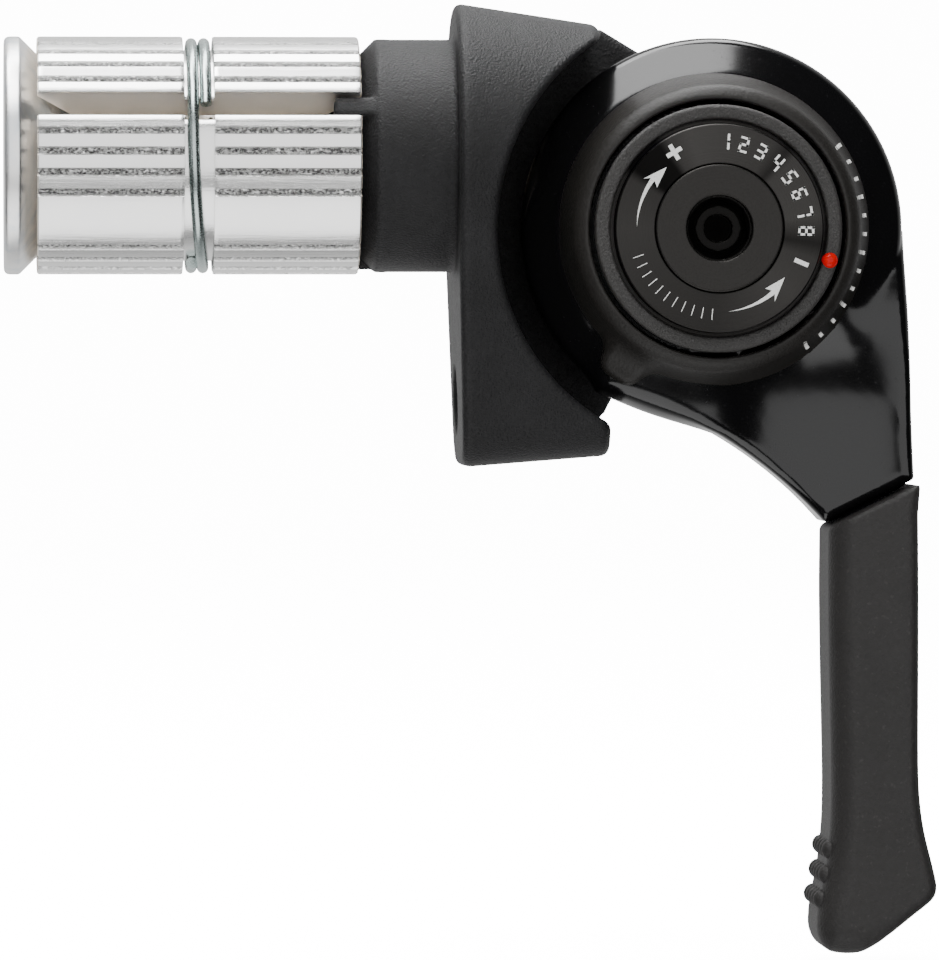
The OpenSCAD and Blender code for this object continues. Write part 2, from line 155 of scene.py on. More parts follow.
class ShifterColours(bpy.types.PropertyGroup):
    """Colours of the finishes"""
    cast: colour_prop("Cast body", "Matte black of the cast body", (0.009, 0.009, 0.0095))
    gloss: colour_prop("Gloss lever", "Gloss black of the lever", (0.003, 0.003, 0.0033))
    ring: colour_prop("Rings", "Grained black of the boss and pointer rings", (0.014, 0.013, 0.012))
    dial: colour_prop("Dial", "Anodised black of the dial", (0.012, 0.0115, 0.011))
    rubber: colour_prop("Grip", "Dark rubber of the grip", (0.013, 0.0122, 0.0118))
    aluminium: colour_prop("Plug", "Bare aluminium of the plug", (0.86, 0.86, 0.85))
    zinc: colour_prop("Nut", "Zinc plating of the cone nut", (0.93, 0.93, 0.92))
    wire: colour_prop("Wire", "Blue zinc plating of the wire coil", (0.40, 0.46, 0.45))
    steel: colour_prop("Bolt", "Steel of the expander bolt", (0.62, 0.57, 0.50))
    red: colour_prop("Pointer", "Red of the pointer dot", (0.32, 0.0, 0.001))
    printed: colour_prop("Print", "White of the print", (0.74, 0.74, 0.72))
    floor: colour_prop("Floor", "Pale floor", (0.93, 0.93, 0.93))


# ------------------------------------------------------------------ solid shapes as distances

def soft_max(a, b, r):
    """The larger of two distances, with the edge between them rounded to radius r"""
    return np.minimum(-r, np.maximum(a, b)) + np.hypot(np.maximum(a + r, 0), np.maximum(b + r, 0))


def soft_min(a, b, r):
    """The smaller of two distances, with a fillet of radius r between them"""
    return np.maximum(r, np.minimum(a, b)) - np.hypot(np.maximum(r - a, 0), np.maximum(r - b, 0))


def span(value, low, high):
    return np.maximum(low - value, value - high)


def ease(value):
    """Rises smoothly from 0 to 1 as the value does"""
    t = np.clip(value, 0, 1)
    return t * t * (3 - 2 * t)


def shared(*parts):
    """Distance from the space that all the parts share"""
    whole = parts[0]
    for part in parts[1:]:
        whole = np.maximum(whole, part)
    return whole


def cut(body, edge, *tool):
    """The body without the space that the tool's parts share, with its edge rounded"""
    outside = -shared(*tool)
    return soft_max(body, outside, edge) if edge else np.maximum(body, outside)


def hexagon(u, v, r, lean=0):
    """Distance from a hexagon that measures r from its middle to each side"""
    turns = [math.radians(60 * k + lean) for k in range(6)]
    return np.maximum.reduce([u * math.cos(a) + v * math.sin(a) - r for a in turns])


def outline(points, x, y):
    """Signed distance from a closed outline, negative inside it"""
    nearest = np.inf
    inside = False
    for (ax, ay), (bx, by) in zip(points, points[1:] + points[:1]):
        ex, ey = bx - ax, by - ay
        wx, wy = x - ax, y - ay
        along = np.clip((wx * ex + wy * ey) / (ex * ex + ey * ey), 0, 1)
        nearest = np.minimum(nearest, (wx - ex * along) ** 2 + (wy - ey * along) ** 2)
        inside = inside ^ (((ay <= y) != (by <= y)) & (wx < ex * wy / (ey or 1)))
    return np.sqrt(nearest) * np.where(inside, -1, 1)


def smooth_loop(points, cuts=6):
    """A closed curve through the points"""
    p = np.array(points, float)
    before, after, later = np.roll(p, 1, 0), np.roll(p, -1, 0), np.roll(p, -2, 0)
    out = []
    for i in range(len(p)):
        for t in np.arange(cuts) / cuts:
            out.append(0.5 * (2 * p[i] + (after[i] - before[i]) * t
                              + (2 * before[i] - 5 * p[i] + 4 * after[i] - later[i]) * t ** 2
                              + (3 * p[i] - before[i] - 3 * after[i] + later[i]) * t ** 3))
    return [tuple(q) for q in out]


def head_axes(x, y, z):
    """Distances right of, above and in front of the pivot's middle"""
    return x - HEAD_X, z - HEAD_Z, -y


def shell(field, low, high, step):
    """Points and faces of the surface where a distance field is nought"""
    axes = [np.arange(a - 1.5 * step, b + 2.5 * step, step) for a, b in zip(low, high)]
    grid = np.meshgrid(*axes, indexing="ij", sparse=True)
    value = field(*grid) + np.zeros([len(a) for a in axes])
    inside = value < 0
    nx, ny, nz = value.shape
    corners = [(i, j, k) for i in (0, 1) for j in (0, 1) for k in (0, 1)]
    count = sum(inside[i:nx - 1 + i, j:ny - 1 + j, k:nz - 1 + k].astype(np.int8) for i, j, k in corners)
    cells = np.argwhere((count > 0) & (count < 8))
    number = np.full(count.shape, -1, np.int64)
    number[tuple(cells.T)] = np.arange(len(cells))
    total = np.zeros((len(cells), 3))
    hits = np.zeros(len(cells))
    for axis in range(3):
        for corner in corners:
            if corner[axis]:
                continue
            near = cells + np.array(corner)
            far = near + np.eye(3, dtype=int)[axis]
            a, b = value[tuple(near.T)], value[tuple(far.T)]
            crossed = (a < 0) != (b < 0)
            spot = near.astype(float)
            spot[:, axis] += np.where(crossed, a / np.where(a == b, 1, a - b), 0)
            total += spot * crossed[:, None]
            hits += crossed
    points = total / hits[:, None] * step + np.array([a[0] for a in axes])
    faces = []
    for axis in range(3):
        u, v = [(1, 2), (2, 0), (0, 1)][axis]
        first = [slice(None)] * 3
        second = [slice(None)] * 3
        first[axis], second[axis] = slice(0, -1), slice(1, None)
        a, b = inside[tuple(first)], inside[tuple(second)]
        edges = np.argwhere(a != b)
        edges = edges[(edges[:, u] > 0) & (edges[:, v] > 0)]
        edges = edges[(edges[:, u] < value.shape[u] - 1) & (edges[:, v] < value.shape[v] - 1)]
        out = a[tuple(edges.T)]
        du, dv = np.eye(3, dtype=int)[u], np.eye(3, dtype=int)[v]
        quad = np.stack([number[tuple((edges - p).T)] for p in (du + dv, dv, 0 * du, du)], 1)
        faces.append(np.where(out[:, None], quad, quad[:, ::-1]))
    faces = np.concatenate(faces)
    small = step * 0.05
    for _ in range(4):
        x, y, z = points.T
        f = field(x, y, z)
        slope = np.stack([
            field(x + small, y, z) - field(x - small, y, z),
            field(x, y + small, z) - field(x, y - small, z),
            field(x, y, z + small) - field(x, y, z - small),
        ], 1) / (2 * small)
        move = -f[:, None] * slope / np.maximum((slope ** 2).sum(1), 0.05)[:, None]
        length = np.linalg.norm(move, axis=1)
        points = points + move * np.minimum(1, 0.4 * step / np.maximum(length, 1e-9))[:, None]
    return points, faces


def ring_faces(count, steps, loop=False):
    """Quads that join each ring of points to the next, and in a loop the last one to the first"""
    around = np.arange(steps)
    after = (around + 1) % steps
    faces = []
    for i in range(count if loop else count - 1):
        a, b = i * steps, (i + 1) % count * steps
        faces += np.stack([a + around, a + after, b + after, b + around], 1).tolist()
    return faces


def close_ends(points, faces, steps, first, last):
    """Closes the first and the last ring with a fan around a middle point"""
    around = np.arange(steps)
    after = (around + 1) % steps
    end = len(points) - steps
    for a, b, middle in ((after, around, first), (end + around, end + after, last)):
        faces += np.stack([a, b, np.full(steps, len(points))], 1).tolist()
        points.append(middle)


def turned(profile, steps):
    """A turned piece, from (radius, height) points. A profile that starts at a radius of nought runs from the
    middle of one end to the middle of the other, and any other is a closed loop around a bore."""
    profile = np.array(profile, float)
    bored = profile[0][0] > 0
    rows = profile if bored else profile[1:-1]
    angle = np.linspace(0, 2 * math.pi, steps, endpoint=False)
    radius, height = rows[:, :1], rows[:, 1:]
    points = np.stack([radius * np.cos(angle), radius * np.sin(angle), height + 0 * angle], 2)
    points = points.reshape(-1, 3).tolist()
    faces = ring_faces(len(rows), steps, bored)
    if not bored:
        close_ends(points, faces, steps, [0, 0, profile[0][1]], [0, 0, profile[-1][1]])
    return np.array(points), faces


def rounded(profile, radii, cuts=4):
    """A profile with its corners rounded, each to its own radius"""
    p = np.array(profile, float)
    closed = p[0][0] > 0
    out = []
    for i in range(len(p)):
        if not closed and i in (0, len(p) - 1) or radii[i] == 0:
            out.append(p[i])
            continue
        a, b = p[i - 1] - p[i], p[(i + 1) % len(p)] - p[i]
        la, lb = np.linalg.norm(a), np.linalg.norm(b)
        reach = min(radii[i], 0.45 * la, 0.45 * lb)
        start, end = p[i] + a / la * reach, p[i] + b / lb * reach
        for t in np.linspace(0, 1, cuts + 1):
            out.append((1 - t) ** 2 * start + 2 * t * (1 - t) * p[i] + t * t * end)
    return out


def on_head(points):
    """Turned points put on the pivot's axis, with their height towards the dial"""
    p = np.array(points)
    return np.stack([HEAD_X + p[:, 0], -p[:, 2], HEAD_Z + p[:, 1]], 1)


def on_plug(points):
    """Turned points put on the plug's axis, with their height along it"""
    p = np.array(points)
    return np.stack([p[:, 2], p[:, 0], p[:, 1]], 1)


def around_plug(turn, r, x):
    """A point on the plug, its turn counted from the dial side upwards"""
    a = np.radians(turn)
    return np.stack(np.broadcast_arrays(x, -r * np.cos(a), r * np.sin(a)), -1)


def piece(name, points, faces, material, body, slot=None, stands_for=(), smooth=40):
    """A finished piece in the frame, from points in millimetres"""
    mesh = bpy.data.meshes.new(name)
    mesh.from_pydata((np.array(points) * MM).tolist(), [], [list(map(int, f)) for f in faces])
    mesh.validate()
    mesh.update()
    thing = bpy.data.objects.new(name, mesh)
    bpy.context.scene.collection.objects.link(thing)
    return finish_piece(thing, material, body, slot, stands_for, smooth)


def finish_piece(thing, material, body, slot=None, stands_for=(), smooth=40):
    """Paints a piece and tells the frame about it; edges sharper than so many degrees stay sharp"""
    mesh = thing.data
    mesh.shade_smooth()
    if smooth is not None:
        mesh.set_sharp_from_angle(angle=math.radians(smooth))
    mesh.materials.clear()
    mesh.materials.append(material)
    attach(thing, body)
    if stands_for:
        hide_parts(*stands_for)
    return thing


def facing_out(points, faces):
    """The faces, turned over if the closed mesh is inside out"""
    p = np.array(points)
    volume = sum(np.dot(p[f[0]], np.cross(p[f[k]], p[f[k + 1]])) for f in faces for k in range(1, len(f) - 1))
    return faces if volume > 0 else [f[::-1] for f in faces]


def shell_piece(name, field, low, high, step, *looks):
    """A piece around a distance field, smooth all over"""
    piece(name, *shell(field, low, high, step), *looks, None)


def turned_piece(name, profile, steps, place, *looks):
    """A turned piece, which a function puts in place"""
    points, faces = turned(profile, steps)
    points = place(points)
    piece(name, points, facing_out(points, faces), *looks)


# ------------------------------------------------------------------ shader maths

FACTOR = 2                                    # an attribute node's output


class Wire:
    """A shader socket that can be used in Python expressions"""

    def __init__(self, tree, socket):
        self.tree, self.socket = tree, socket

    def math(self, operation, *others):
        return self.tree.node("ShaderNodeMath", {"operation": operation}, self, *others)

    def __add__(self, other):
        return self.math("ADD", other)

    def __sub__(self, other):
        return self.math("SUBTRACT", other)

    def __rsub__(self, other):
        return self.tree.node("ShaderNodeMath", {"operation": "SUBTRACT"}, other, self)

    def __mul__(self, other):
        return self.math("MULTIPLY", other)

    __radd__ = __add__


def feed(tree, socket, value):
    """Links a socket or a wire to a socket, or sets the socket's value"""
    value = value.socket if isinstance(value, Wire) else value
    if isinstance(value, bpy.types.NodeSocket):
        tree.links.new(value, socket)
    elif socket.type == "RGBA":
        socket.default_value = (*value[:3], 1)
    else:
        socket.default_value = value


class Finish:
    """A material's tree around a base colour, with one method that adds any node"""

    def __init__(self, name, base, **constants):
        self.material = bpy.data.materials.new(name)
        self.material.use_nodes = True
        self.tree = self.material.node_tree
        self.shader = next(n for n in self.tree.nodes if n.type == "BSDF_PRINCIPLED")
        self.base = colour_of(base) if isinstance(base, str) else base
        self.use(**constants)

    def node(self, kind, settings=None, *values, out=0, **named):
        made = self.tree.nodes.new(kind)
        for key, value in (settings or {}).items():
            setattr(made, key, value)
        for key, value in [*enumerate(values), *named.items()]:
            feed(self.tree, made.inputs[key if isinstance(key, int) else key.replace("_", " ")], value)
        return Wire(self, made.outputs[out])

    def place(self, **mapping):
        """Positions on the piece, stretched by a mapping if there is one"""
        spot = self.node("ShaderNodeTexCoord", out="Object")
        return self.node("ShaderNodeMapping", Vector=spot, **mapping) if mapping else spot

    def noise(self, scale, detail=4.0, stretch=(1, 1, 1)):
        """Noise with a scale in features per metre"""
        return self.node("ShaderNodeTexNoise", Vector=self.place(Scale=stretch), Scale=scale, Detail=detail,
                         Roughness=0.6)

    def grain(self, scale):
        return self.node("ShaderNodeTexVoronoi", Vector=self.place(), Scale=scale)

    def ramp(self, value, *stops):
        """A grey level that runs through (position, level) stops"""
        wire = self.node("ShaderNodeValToRGB", None, value)
        points = wire.socket.node.color_ramp.elements
        points[0].position, points[1].position = stops[0][0], stops[-1][0]
        for position, _ in stops[1:-1]:
            points.new(position)
        for point, (_, level) in zip(points, stops):
            point.color = (level, level, level, 1)
        return wire

    def mix(self, factor, a, b):
        made = self.tree.nodes.new("ShaderNodeMix")
        made.data_type = "RGBA"
        for socket, value in zip([s for s in made.inputs if s.enabled], (factor, a, b)):
            feed(self.tree, socket, value)
        return Wire(self, next(s for s in made.outputs if s.enabled))

    def tone(self, factor, low, high):
        """A mix of two tints of the base colour"""
        return self.mix(factor, tint(self.base, low), tint(self.base, high))

    def use(self, **sockets):
        for name, value in sockets.items():
            feed(self.tree, self.shader.inputs[name.replace("_", " ")], value)
        return self.material

    def done(self, colour, rough, height, depth, strength):
        """The finished material, with bumps of a depth in millimetres"""
        bumps = self.node("ShaderNodeBump", Height=height, Distance=depth * MM, Strength=strength)
        return self.use(Base_Color=colour, Roughness=rough, Normal=bumps)


def tint(colour, factor):
    return tuple(min(1.0, c * factor) for c in colour)


def colour_of(name):
    return tuple(getattr(bpy.context.scene.shifter_colours, name))


def made_once(builder):
    """The material that a builder makes, made the first time that it is asked for"""
    name = "shifter_" + builder.__name__

    def get():
        return bpy.data.materials.get(name) or builder(name)
    return get


@made_once
def cast_black(name):
    m = Finish(name, "cast", Specular_IOR_Level=0.24)
    cloud, speck, pits = m.noise(220, 5), m.noise(5200, 3), m.grain(6200)
    colour = m.tone(m.ramp(cloud, (0.35, 0.0), (0.7, 1.0)), 0.8, 1.35)
    return m.done(colour, 0.40 + cloud * 0.10 + speck * 0.12, speck * 0.7 + pits * 0.3, 0.12, 1.0)


@made_once
def gloss_black(name):
    m = Finish(name, "gloss", Specular_IOR_Level=0.40)
    smear = m.noise(140, 6)
    dust = m.ramp(m.noise(3800, 2), (0.66, 0.0), (0.72, 1.0))
    ripple = m.node("ShaderNodeTexWave", {"wave_type": "BANDS", "bands_direction": "DIAGONAL"},
                    Vector=m.place(), Scale=330, Distortion=3.0, Detail=2.0)
    colour = m.mix(dust * 0.35, m.tone(smear, 0.7, 1.3), tint(m.base, 4))
    return m.done(colour, 0.10 + smear * 0.10 + dust * 0.12, ripple * 0.35 + m.noise(500, 3) * 0.65, 0.012, 0.30)


@made_once
def boss_black(name):
    m = Finish(name, "ring", Specular_IOR_Level=0.20)
    grain, cloud = m.noise(4200, 3), m.noise(260, 4)
    return m.done(m.tone(cloud, 0.7, 1.25), 0.34 + grain * 0.12 + cloud * 0.06, grain, 0.045, 0.9)


def from_pivot(m):
    """Distances right of and above the pivot's middle, in metres"""
    parts = m.node("ShaderNodeSeparateXYZ", None, m.place())
    return parts - HEAD_X * MM, Wire(m, parts.socket.node.outputs["Z"]) - HEAD_Z * MM


def wedges(m):
    """Light round the pivot, with the dark wedges of a faced disc"""
    across, rise = from_pivot(m)
    turn = rise.math("ARCTAN2", across) * (0.5 / math.pi) + 0.5
    return m.ramp(turn, (0.0, 0.62), (0.10, 0.5), (0.24, 0.42), (0.38, 0.72), (0.45, 0.6), (0.475, 0.22),
                  (0.52, 0.75), (0.62, 0.7), (0.635, 0.25), (0.66, 0.62), (0.80, 0.85), (0.835, 0.6),
                  (0.85, 0.05), (0.905, 0.03), (0.92, 0.5), (1.0, 0.62))


@made_once
def dial_black(name):
    m = Finish(name, "dial", Metallic=1.0)
    rings = turned_marks(m, 9000)
    # The dial's colour carries painted reflections: light and dark wedges by angle round the pivot
    return m.done(m.tone(wedges(m), 0.25, 3.6), 0.30 + rings * 0.14, rings, 0.02, 0.6)


def head_radius(m):
    """Distance from the pivot's axis, in metres"""
    across, rise = from_pivot(m)
    return (across * across + rise * rise).math("SQRT")


def turned_marks(m, scale):
    """Fine rings left by facing a disc"""
    return m.node("ShaderNodeTexNoise", {"noise_dimensions": "1D"}, W=head_radius(m), Scale=scale, Detail=2.0)


@made_once
def bolt_black(name):
    m = Finish(name, "dial", Metallic=1.0)
    centimetres = head_radius(m) * (0.1 / MM)
    # Painted shade: the socket and the hollows round its pin are dark. Painted highlight: a bright ring at the
    # head's rim
    socket = m.ramp(centimetres, (0.0, 0.0), (0.095, 0.02), (0.105, 0.3), (0.17, 0.3), (0.185, 0.0),
                    (0.235, 0.0), (0.262, 1.0), (0.47, 1.0), (0.49, 2.0), (0.5, 2.0))
    rings, speck = turned_marks(m, 7000), m.noise(6000, 2)
    colour = m.tone(socket * (0.75 + speck * 0.5), 0.10, 2.3)
    return m.done(colour, 0.36 + rings * 0.08 + speck * 0.08, rings * 0.5 + speck * 0.5, 0.03, 0.7)


@made_once
def grip_rubber(name):
    m = Finish(name, "rubber", Specular_IOR_Level=0.32)
    cloud, grain = m.noise(170, 5), m.noise(4200, 3)
    dust = m.ramp(m.noise(2600, 3), (0.62, 0.0), (0.72, 1.0))
    colour = m.mix(dust * 0.3, m.tone(cloud, 0.8, 1.4), tint(m.base, 3.2))
    return m.done(colour, 0.50 + grain * 0.18 - dust * 0.05, grain, 0.07, 1.0)


@made_once
def plug_aluminium(name):
    m = Finish(name, "aluminium", Metallic=1.0)
    drawn, cloud = m.noise(5200, 3, (0.05, 1, 1)), m.noise(240, 4)
    torn, cut_face = [m.node("ShaderNodeAttribute", {"attribute_name": key}, out=FACTOR)
                      for key in ("torn", "cut")]
    chips = m.ramp(m.noise(5600, 3, (0.7, 1, 1)), (0.42, 0.0), (0.58, 1.0))
    plain = m.mix(cut_face, m.tone(cloud, 0.93, 1), (1.0, 0.93, 0.84))
    colour = m.mix(torn * chips * 0.9, plain, tint(m.base, 0.10))
    rough = 0.20 + drawn * 0.10 + torn * 0.12 + cut_face * 0.55
    return m.done(colour, rough, drawn * 0.12 * (1 - torn) + torn * chips, 0.09, 0.8)


@made_once
def nut_zinc(name):
    m = Finish(name, "zinc", Metallic=1.0)
    streak, cloud = m.noise(900, 4, (0.5, 1, 0.12)), m.noise(420, 5)
    blue = (0.55, 0.63, 0.70)
    colour = m.mix(m.ramp(streak, (0.45, 0.0), (0.68, 1.0)) * 0.6, m.tone(cloud, 0.85, 1), blue)
    return m.done(colour, 0.28 + cloud * 0.16, streak, 0.015, 0.5)


@made_once
def bolt_steel(name):
    m = Finish(name, "steel", Metallic=1.0)
    stain, fine = m.noise(700, 5), m.noise(5200, 3, (1, 0.3, 0.3))
    colour = m.tone(m.ramp(stain, (0.4, 0.0), (0.65, 1.0)), 0.75, 1)
    return m.done(colour, 0.26 + fine * 0.2, fine, 0.01, 0.5)


def mottled(key, base, cloud, grain, low, high, rough, wear, depth, strength, **constants):
    """A plain finish: clouds between two tints of its colour under a fine grain"""
    def builder(name):
        m = Finish(name, base, **constants)
        fine = m.noise(grain, 3)
        return m.done(m.tone(m.noise(cloud, 4), low, high), rough + fine * wear, fine, depth, strength)
    builder.__name__ = key
    return made_once(builder)


METAL = (500, 6000, 0.8, 1.1)
MATTE = (400, 3000, 0.75, 1.3)
ring_black = mottled("ring_black", "ring", 300, 5600, 0.8, 1.5, 0.46, 0.16, 0.11, 1.0)
coil_zinc = mottled("coil_zinc", "wire", 900, 7000, 0.75, 1.3, 0.20, 0.14, 0.008, 0.5, Metallic=1.0)
washer_steel = mottled("washer_steel", (0.6, 0.6, 0.59), *METAL, 0.25, 0.15, 0.01, 0.5, Metallic=1.0)
bush_brass = mottled("bush_brass", (0.62, 0.42, 0.18), *METAL, 0.28, 0.15, 0.01, 0.5, Metallic=1.0)
friction_fibre = mottled("friction_fibre", (0.11, 0.07, 0.04), *MATTE, 0.7, 0.15, 0.03, 0.6)
seal_rubber = mottled("seal_rubber", (0.012, 0.012, 0.012), *MATTE, 0.5, 0.15, 0.03, 0.6)
drum_plastic = mottled("drum_plastic", (0.022, 0.022, 0.024), 400, 4500, 0.75, 1.3, 0.42, 0.15, 0.03, 0.6)


@made_once
def pointer_red(name):
    # Painted glow: a faint red emission makes the dot shine though it is no lamp
    m = Finish(name, "red", Specular_IOR_Level=0.12, Emission_Color=(1, 0, 0), Emission_Strength=0.20)
    cloud = m.noise(2600, 2)
    return m.done(m.tone(cloud, 0.8, 1.25), 0.16 + cloud * 0.1, cloud, 0.01, 0.3)


@made_once
def print_white(name):
    m = Finish(name, "printed")
    worn = m.noise(7000, 3)
    return m.done(m.tone(m.ramp(worn, (0.3, 0.0), (0.5, 1.0)), 0.7, 1), 0.45 + worn * 0.1, worn, 0.01, 0.4)


# ------------------------------------------------------------------ geometry nodes

class Tree:
    """A geometry tree with named inputs, that ends in Realize Instances and Set Material"""

    def __init__(self, name, **inputs):
        self.group = bpy.data.node_groups.new(name, "GeometryNodeTree")
        face = self.group.interface
        face.new_socket("Geometry", in_out="INPUT", socket_type="NodeSocketGeometry")
        self.ids = {}
        for label, value in inputs.items():
            kind = {int: "NodeSocketInt", float: "NodeSocketFloat",
                    bpy.types.Material: "NodeSocketMaterial"}[type(value)]
            socket = face.new_socket(label, in_out="INPUT", socket_type=kind)
            self.ids[label] = (socket.identifier, value)
        face.new_socket("Geometry", in_out="OUTPUT", socket_type="NodeSocketGeometry")
        self.start = self.group.nodes.new("NodeGroupInput")
        self.end = self.group.nodes.new("NodeGroupOutput")

    def input(self, label):
        return self.start.outputs[label]

    def node(self, kind, settings=None, **values):
        made = self.group.nodes.new(kind)
        for key, value in (settings or {}).items():
            setattr(made, key, value)
        for key, value in values.items():
            socket = next(s for s in made.inputs if s.enabled and s.name.replace(" ", "_") == key)
            feed(self.group, socket, value)
        return made

    def close(self, geometry):
        real = self.node("GeometryNodeRealizeInstances", Geometry=geometry)
        painted = self.node("GeometryNodeSetMaterial", Geometry=real.outputs[0], Material=self.input("Material"))
        self.group.links.new(painted.outputs[0], self.end.inputs[0])

    def run(self, name, mesh):
        """Runs the tree on a mesh and returns an object with the plain result"""
        source = bpy.data.objects.new(name + "_source", mesh)
        bpy.context.scene.collection.objects.link(source)
        modifier = source.modifiers.new("Build", "NODES")
        modifier.node_group = self.group
        for identifier, value in self.ids.values():
            modifier[identifier] = value
        bpy.context.view_layer.update()
        depsgraph = bpy.context.evaluated_depsgraph_get()
        result = bpy.data.meshes.new_from_object(source.evaluated_get(depsgraph), depsgraph=depsgraph)
        result.name = name
        source.modifiers.remove(modifier)
        bpy.data.objects.remove(source)
        if not result.vertices:
            raise RuntimeError(name + " came out empty")
        thing = bpy.data.objects.new(name, result)
        bpy.context.scene.collection.objects.link(thing)
        return thing


def points_mesh(name, points, edges=(), normals=None):
    mesh = bpy.data.meshes.new(name)
    mesh.from_pydata((np.array(points) * MM).tolist(), list(edges), [])
    if normals is not None:
        mesh.attributes.new("aim", "FLOAT_VECTOR", "POINT").data.foreach_set("vector", np.ravel(normals))
    return mesh


def sweep_tree(material, radius, sides=16):
    """A round wire along the edges of a mesh"""
    t = Tree("Wire sweep", Radius=radius, Sides=sides, Material=material)
    path = t.node("GeometryNodeMeshToCurve", Mesh=t.input("Geometry"))
    ring = t.node("GeometryNodeCurvePrimitiveCircle", Resolution=t.input("Sides"), Radius=t.input("Radius"))
    tube = t.node("GeometryNodeCurveToMesh", Curve=path.outputs[0], Profile_Curve=ring.outputs[0],
                  Fill_Caps=True)
    t.close(tube.outputs[0])
    return t


def scatter_tree(label, material, size, rings):
    """A small shape on each point of a mesh, turned to the point's aim: a stud, or a bar if it has no rings"""
    t = Tree(label, Length=size[0], Width=size[1], Height=size[2], Material=material)
    if rings:
        one = t.node("GeometryNodeMeshUVSphere", Segments=12, Rings=rings, Radius=0.5)
    else:
        one = t.node("GeometryNodeMeshCube", Size=(1, 1, 1))
    scale = t.node("ShaderNodeCombineXYZ", X=t.input("Length"), Y=t.input("Width"), Z=t.input("Height"))
    aim = t.node("GeometryNodeInputNamedAttribute", {"data_type": "FLOAT_VECTOR"}, Name="aim")
    turn = t.node("FunctionNodeAlignRotationToVector", {"axis": "Z" if rings else "X"}, Vector=aim.outputs[0])
    all_of_them = t.node("GeometryNodeInstanceOnPoints", Points=t.input("Geometry"), Instance=one.outputs[0],
                         Rotation=turn.outputs[0], Scale=scale.outputs[0])
    t.close(all_of_them.outputs[0])
    return t


def scattered(name, label, points, aims, size, rings, material, *looks):
    """A finished piece made of small shapes on points"""
    tree = scatter_tree(label, material, size, rings)
    finish_piece(tree.run(name, points_mesh(name + "_points", points, normals=aims)), material, *looks)


# ------------------------------------------------------------------ body

BODY_LEN = 11.3
TAPER = math.tan(math.radians(8.7))
FACE_R = 11.85
SIDE_TURN = math.radians(-11.6)               # direction of the body's sloping sides
CORNER_R = 3.0
CABLE_Y, CABLE_Z = 1.85, -18.9


def body_section(y, z, shrink):
    """Round over the bar, narrower and square below it, around the cable"""
    side = np.abs(y)
    away = np.hypot(side, z)
    flat = side * math.cos(SIDE_TURN) + z * math.sin(SIDE_TURN)
    edge = np.where(z > side * math.tan(SIDE_TURN), away, flat) - FACE_R + shrink
    return soft_max(edge, BODY_BASE - 0.2 + shrink / 2 - z, CORNER_R)


def wedge_of_plug(y, z, turn, half):
    """Distance outside a wedge of the plug, to each side of its middle"""
    a = math.radians(turn)
    out = -y * math.cos(a) + z * math.sin(a)
    side = np.abs(y * math.sin(a) + z * math.cos(a))
    lean = math.radians(half)
    return side * math.cos(lean) - out * math.sin(lean)


def body_field(x, y, z):
    px, py, h = head_axes(x, y, z)
    r, away = np.hypot(px, py), np.hypot(y, z)
    shrink = np.clip(x, 0, None) * TAPER
    slant, recess = 0.02 * (10 - z), 0.03 * np.clip(-9 - z, 0, None)
    block = soft_max(body_section(y, z, shrink), span(x, recess, BODY_LEN + slant), 0.7)
    block = soft_max(block, -soft_max(r - SEAT_R, span(h, FLOOR_H, FAR), 0), 0.45)
    neck = soft_max(away - NECK_R, span(x, NECK_X, 4), 0.25)
    cone = np.maximum((away - NECK_R + NECK_X - x) * math.sqrt(0.5), away - NECK_R + 0.01)
    cone = soft_max(cone, span(x, -10.7, NECK_X + 1), 0.2)
    body = soft_min(block, soft_min(neck, cone, 0.1), 0.5)
    for turn in GAP_TURNS:
        fin = shared(span(away, 3.6, PLUG_R - 0.4), span(x, -9.5, -5.1))
        body = np.minimum(body, soft_max(wedge_of_plug(y, z, turn, 4.75), fin, 0.15))
    web = outline([(-8.0, 15.7), (-3.2, 12.8), (0, 0), (-7.7, -14.2), (-12.7, -14.2), (-12.7, 15.7)], px, py)
    plate = soft_max(soft_min(r - FLOOR_R, web, 1.5), span(h, BACK_H, FLOOR_H), 0.6)
    body = cut(soft_min(body, plate, 0.8), 0, span(h, FLOOR_H, FAR), r - SEAT_R)
    body = np.minimum(body, shared(r - 3.82, np.abs(py) - 3.22, span(h, FLOOR_H - 1, FLOOR_H + 1.2)))
    body = cut(body, 0.15, away - 3.2, span(x, -FAR, 20))
    body = cut(body, 0, away - 5.4, span(x, -3, 8.0))
    body = cut(body, 0.1, r - SCREW_R - 0.1, span(h, -FAR, 0))
    body = cut(body, 0.1, r - 4.2, span(h, -FAR, BACK_H + 2.9))
    body = cut(body, 0.2, r - 5.5, np.abs(py) - 4.68, span(h, -FAR, BACK_H + 1.4))
    cable = np.hypot(y - CABLE_Y, z - CABLE_Z)
    body = cut(body, 0.3, cable - 2.6, span(x, -5, 6.0))
    return cut(body, 0.1, cable - 0.9, span(x, -5, 16))


def build_body():
    low = (-11.0, -12.0, BODY_BASE - 0.3)
    high = (HEAD_X + FLOOR_R + 0.3, 12.0, 12.0)
    shell_piece("body_casting", body_field, low, high, 0.27, cast_black(), "pod", "cast_black", ["pod_body"])


# ------------------------------------------------------------------ lever

ARM_SCOOP_R = 33.6
ARM_FROM = np.array([8.85, -22.7])
ARM_TO = np.array([-8.2, -12.35])
JOINT_SLOPE = math.radians(26)
JOINT_AT = (8.7, -22.85)


def scoop_centre():
    half = (ARM_TO - ARM_FROM) / 2
    side = np.array([-half[1], half[0]]) / np.linalg.norm(half)
    return ARM_FROM + half + side * math.sqrt(ARM_SCOOP_R ** 2 - half @ half)


SCOOP_C = scoop_centre()


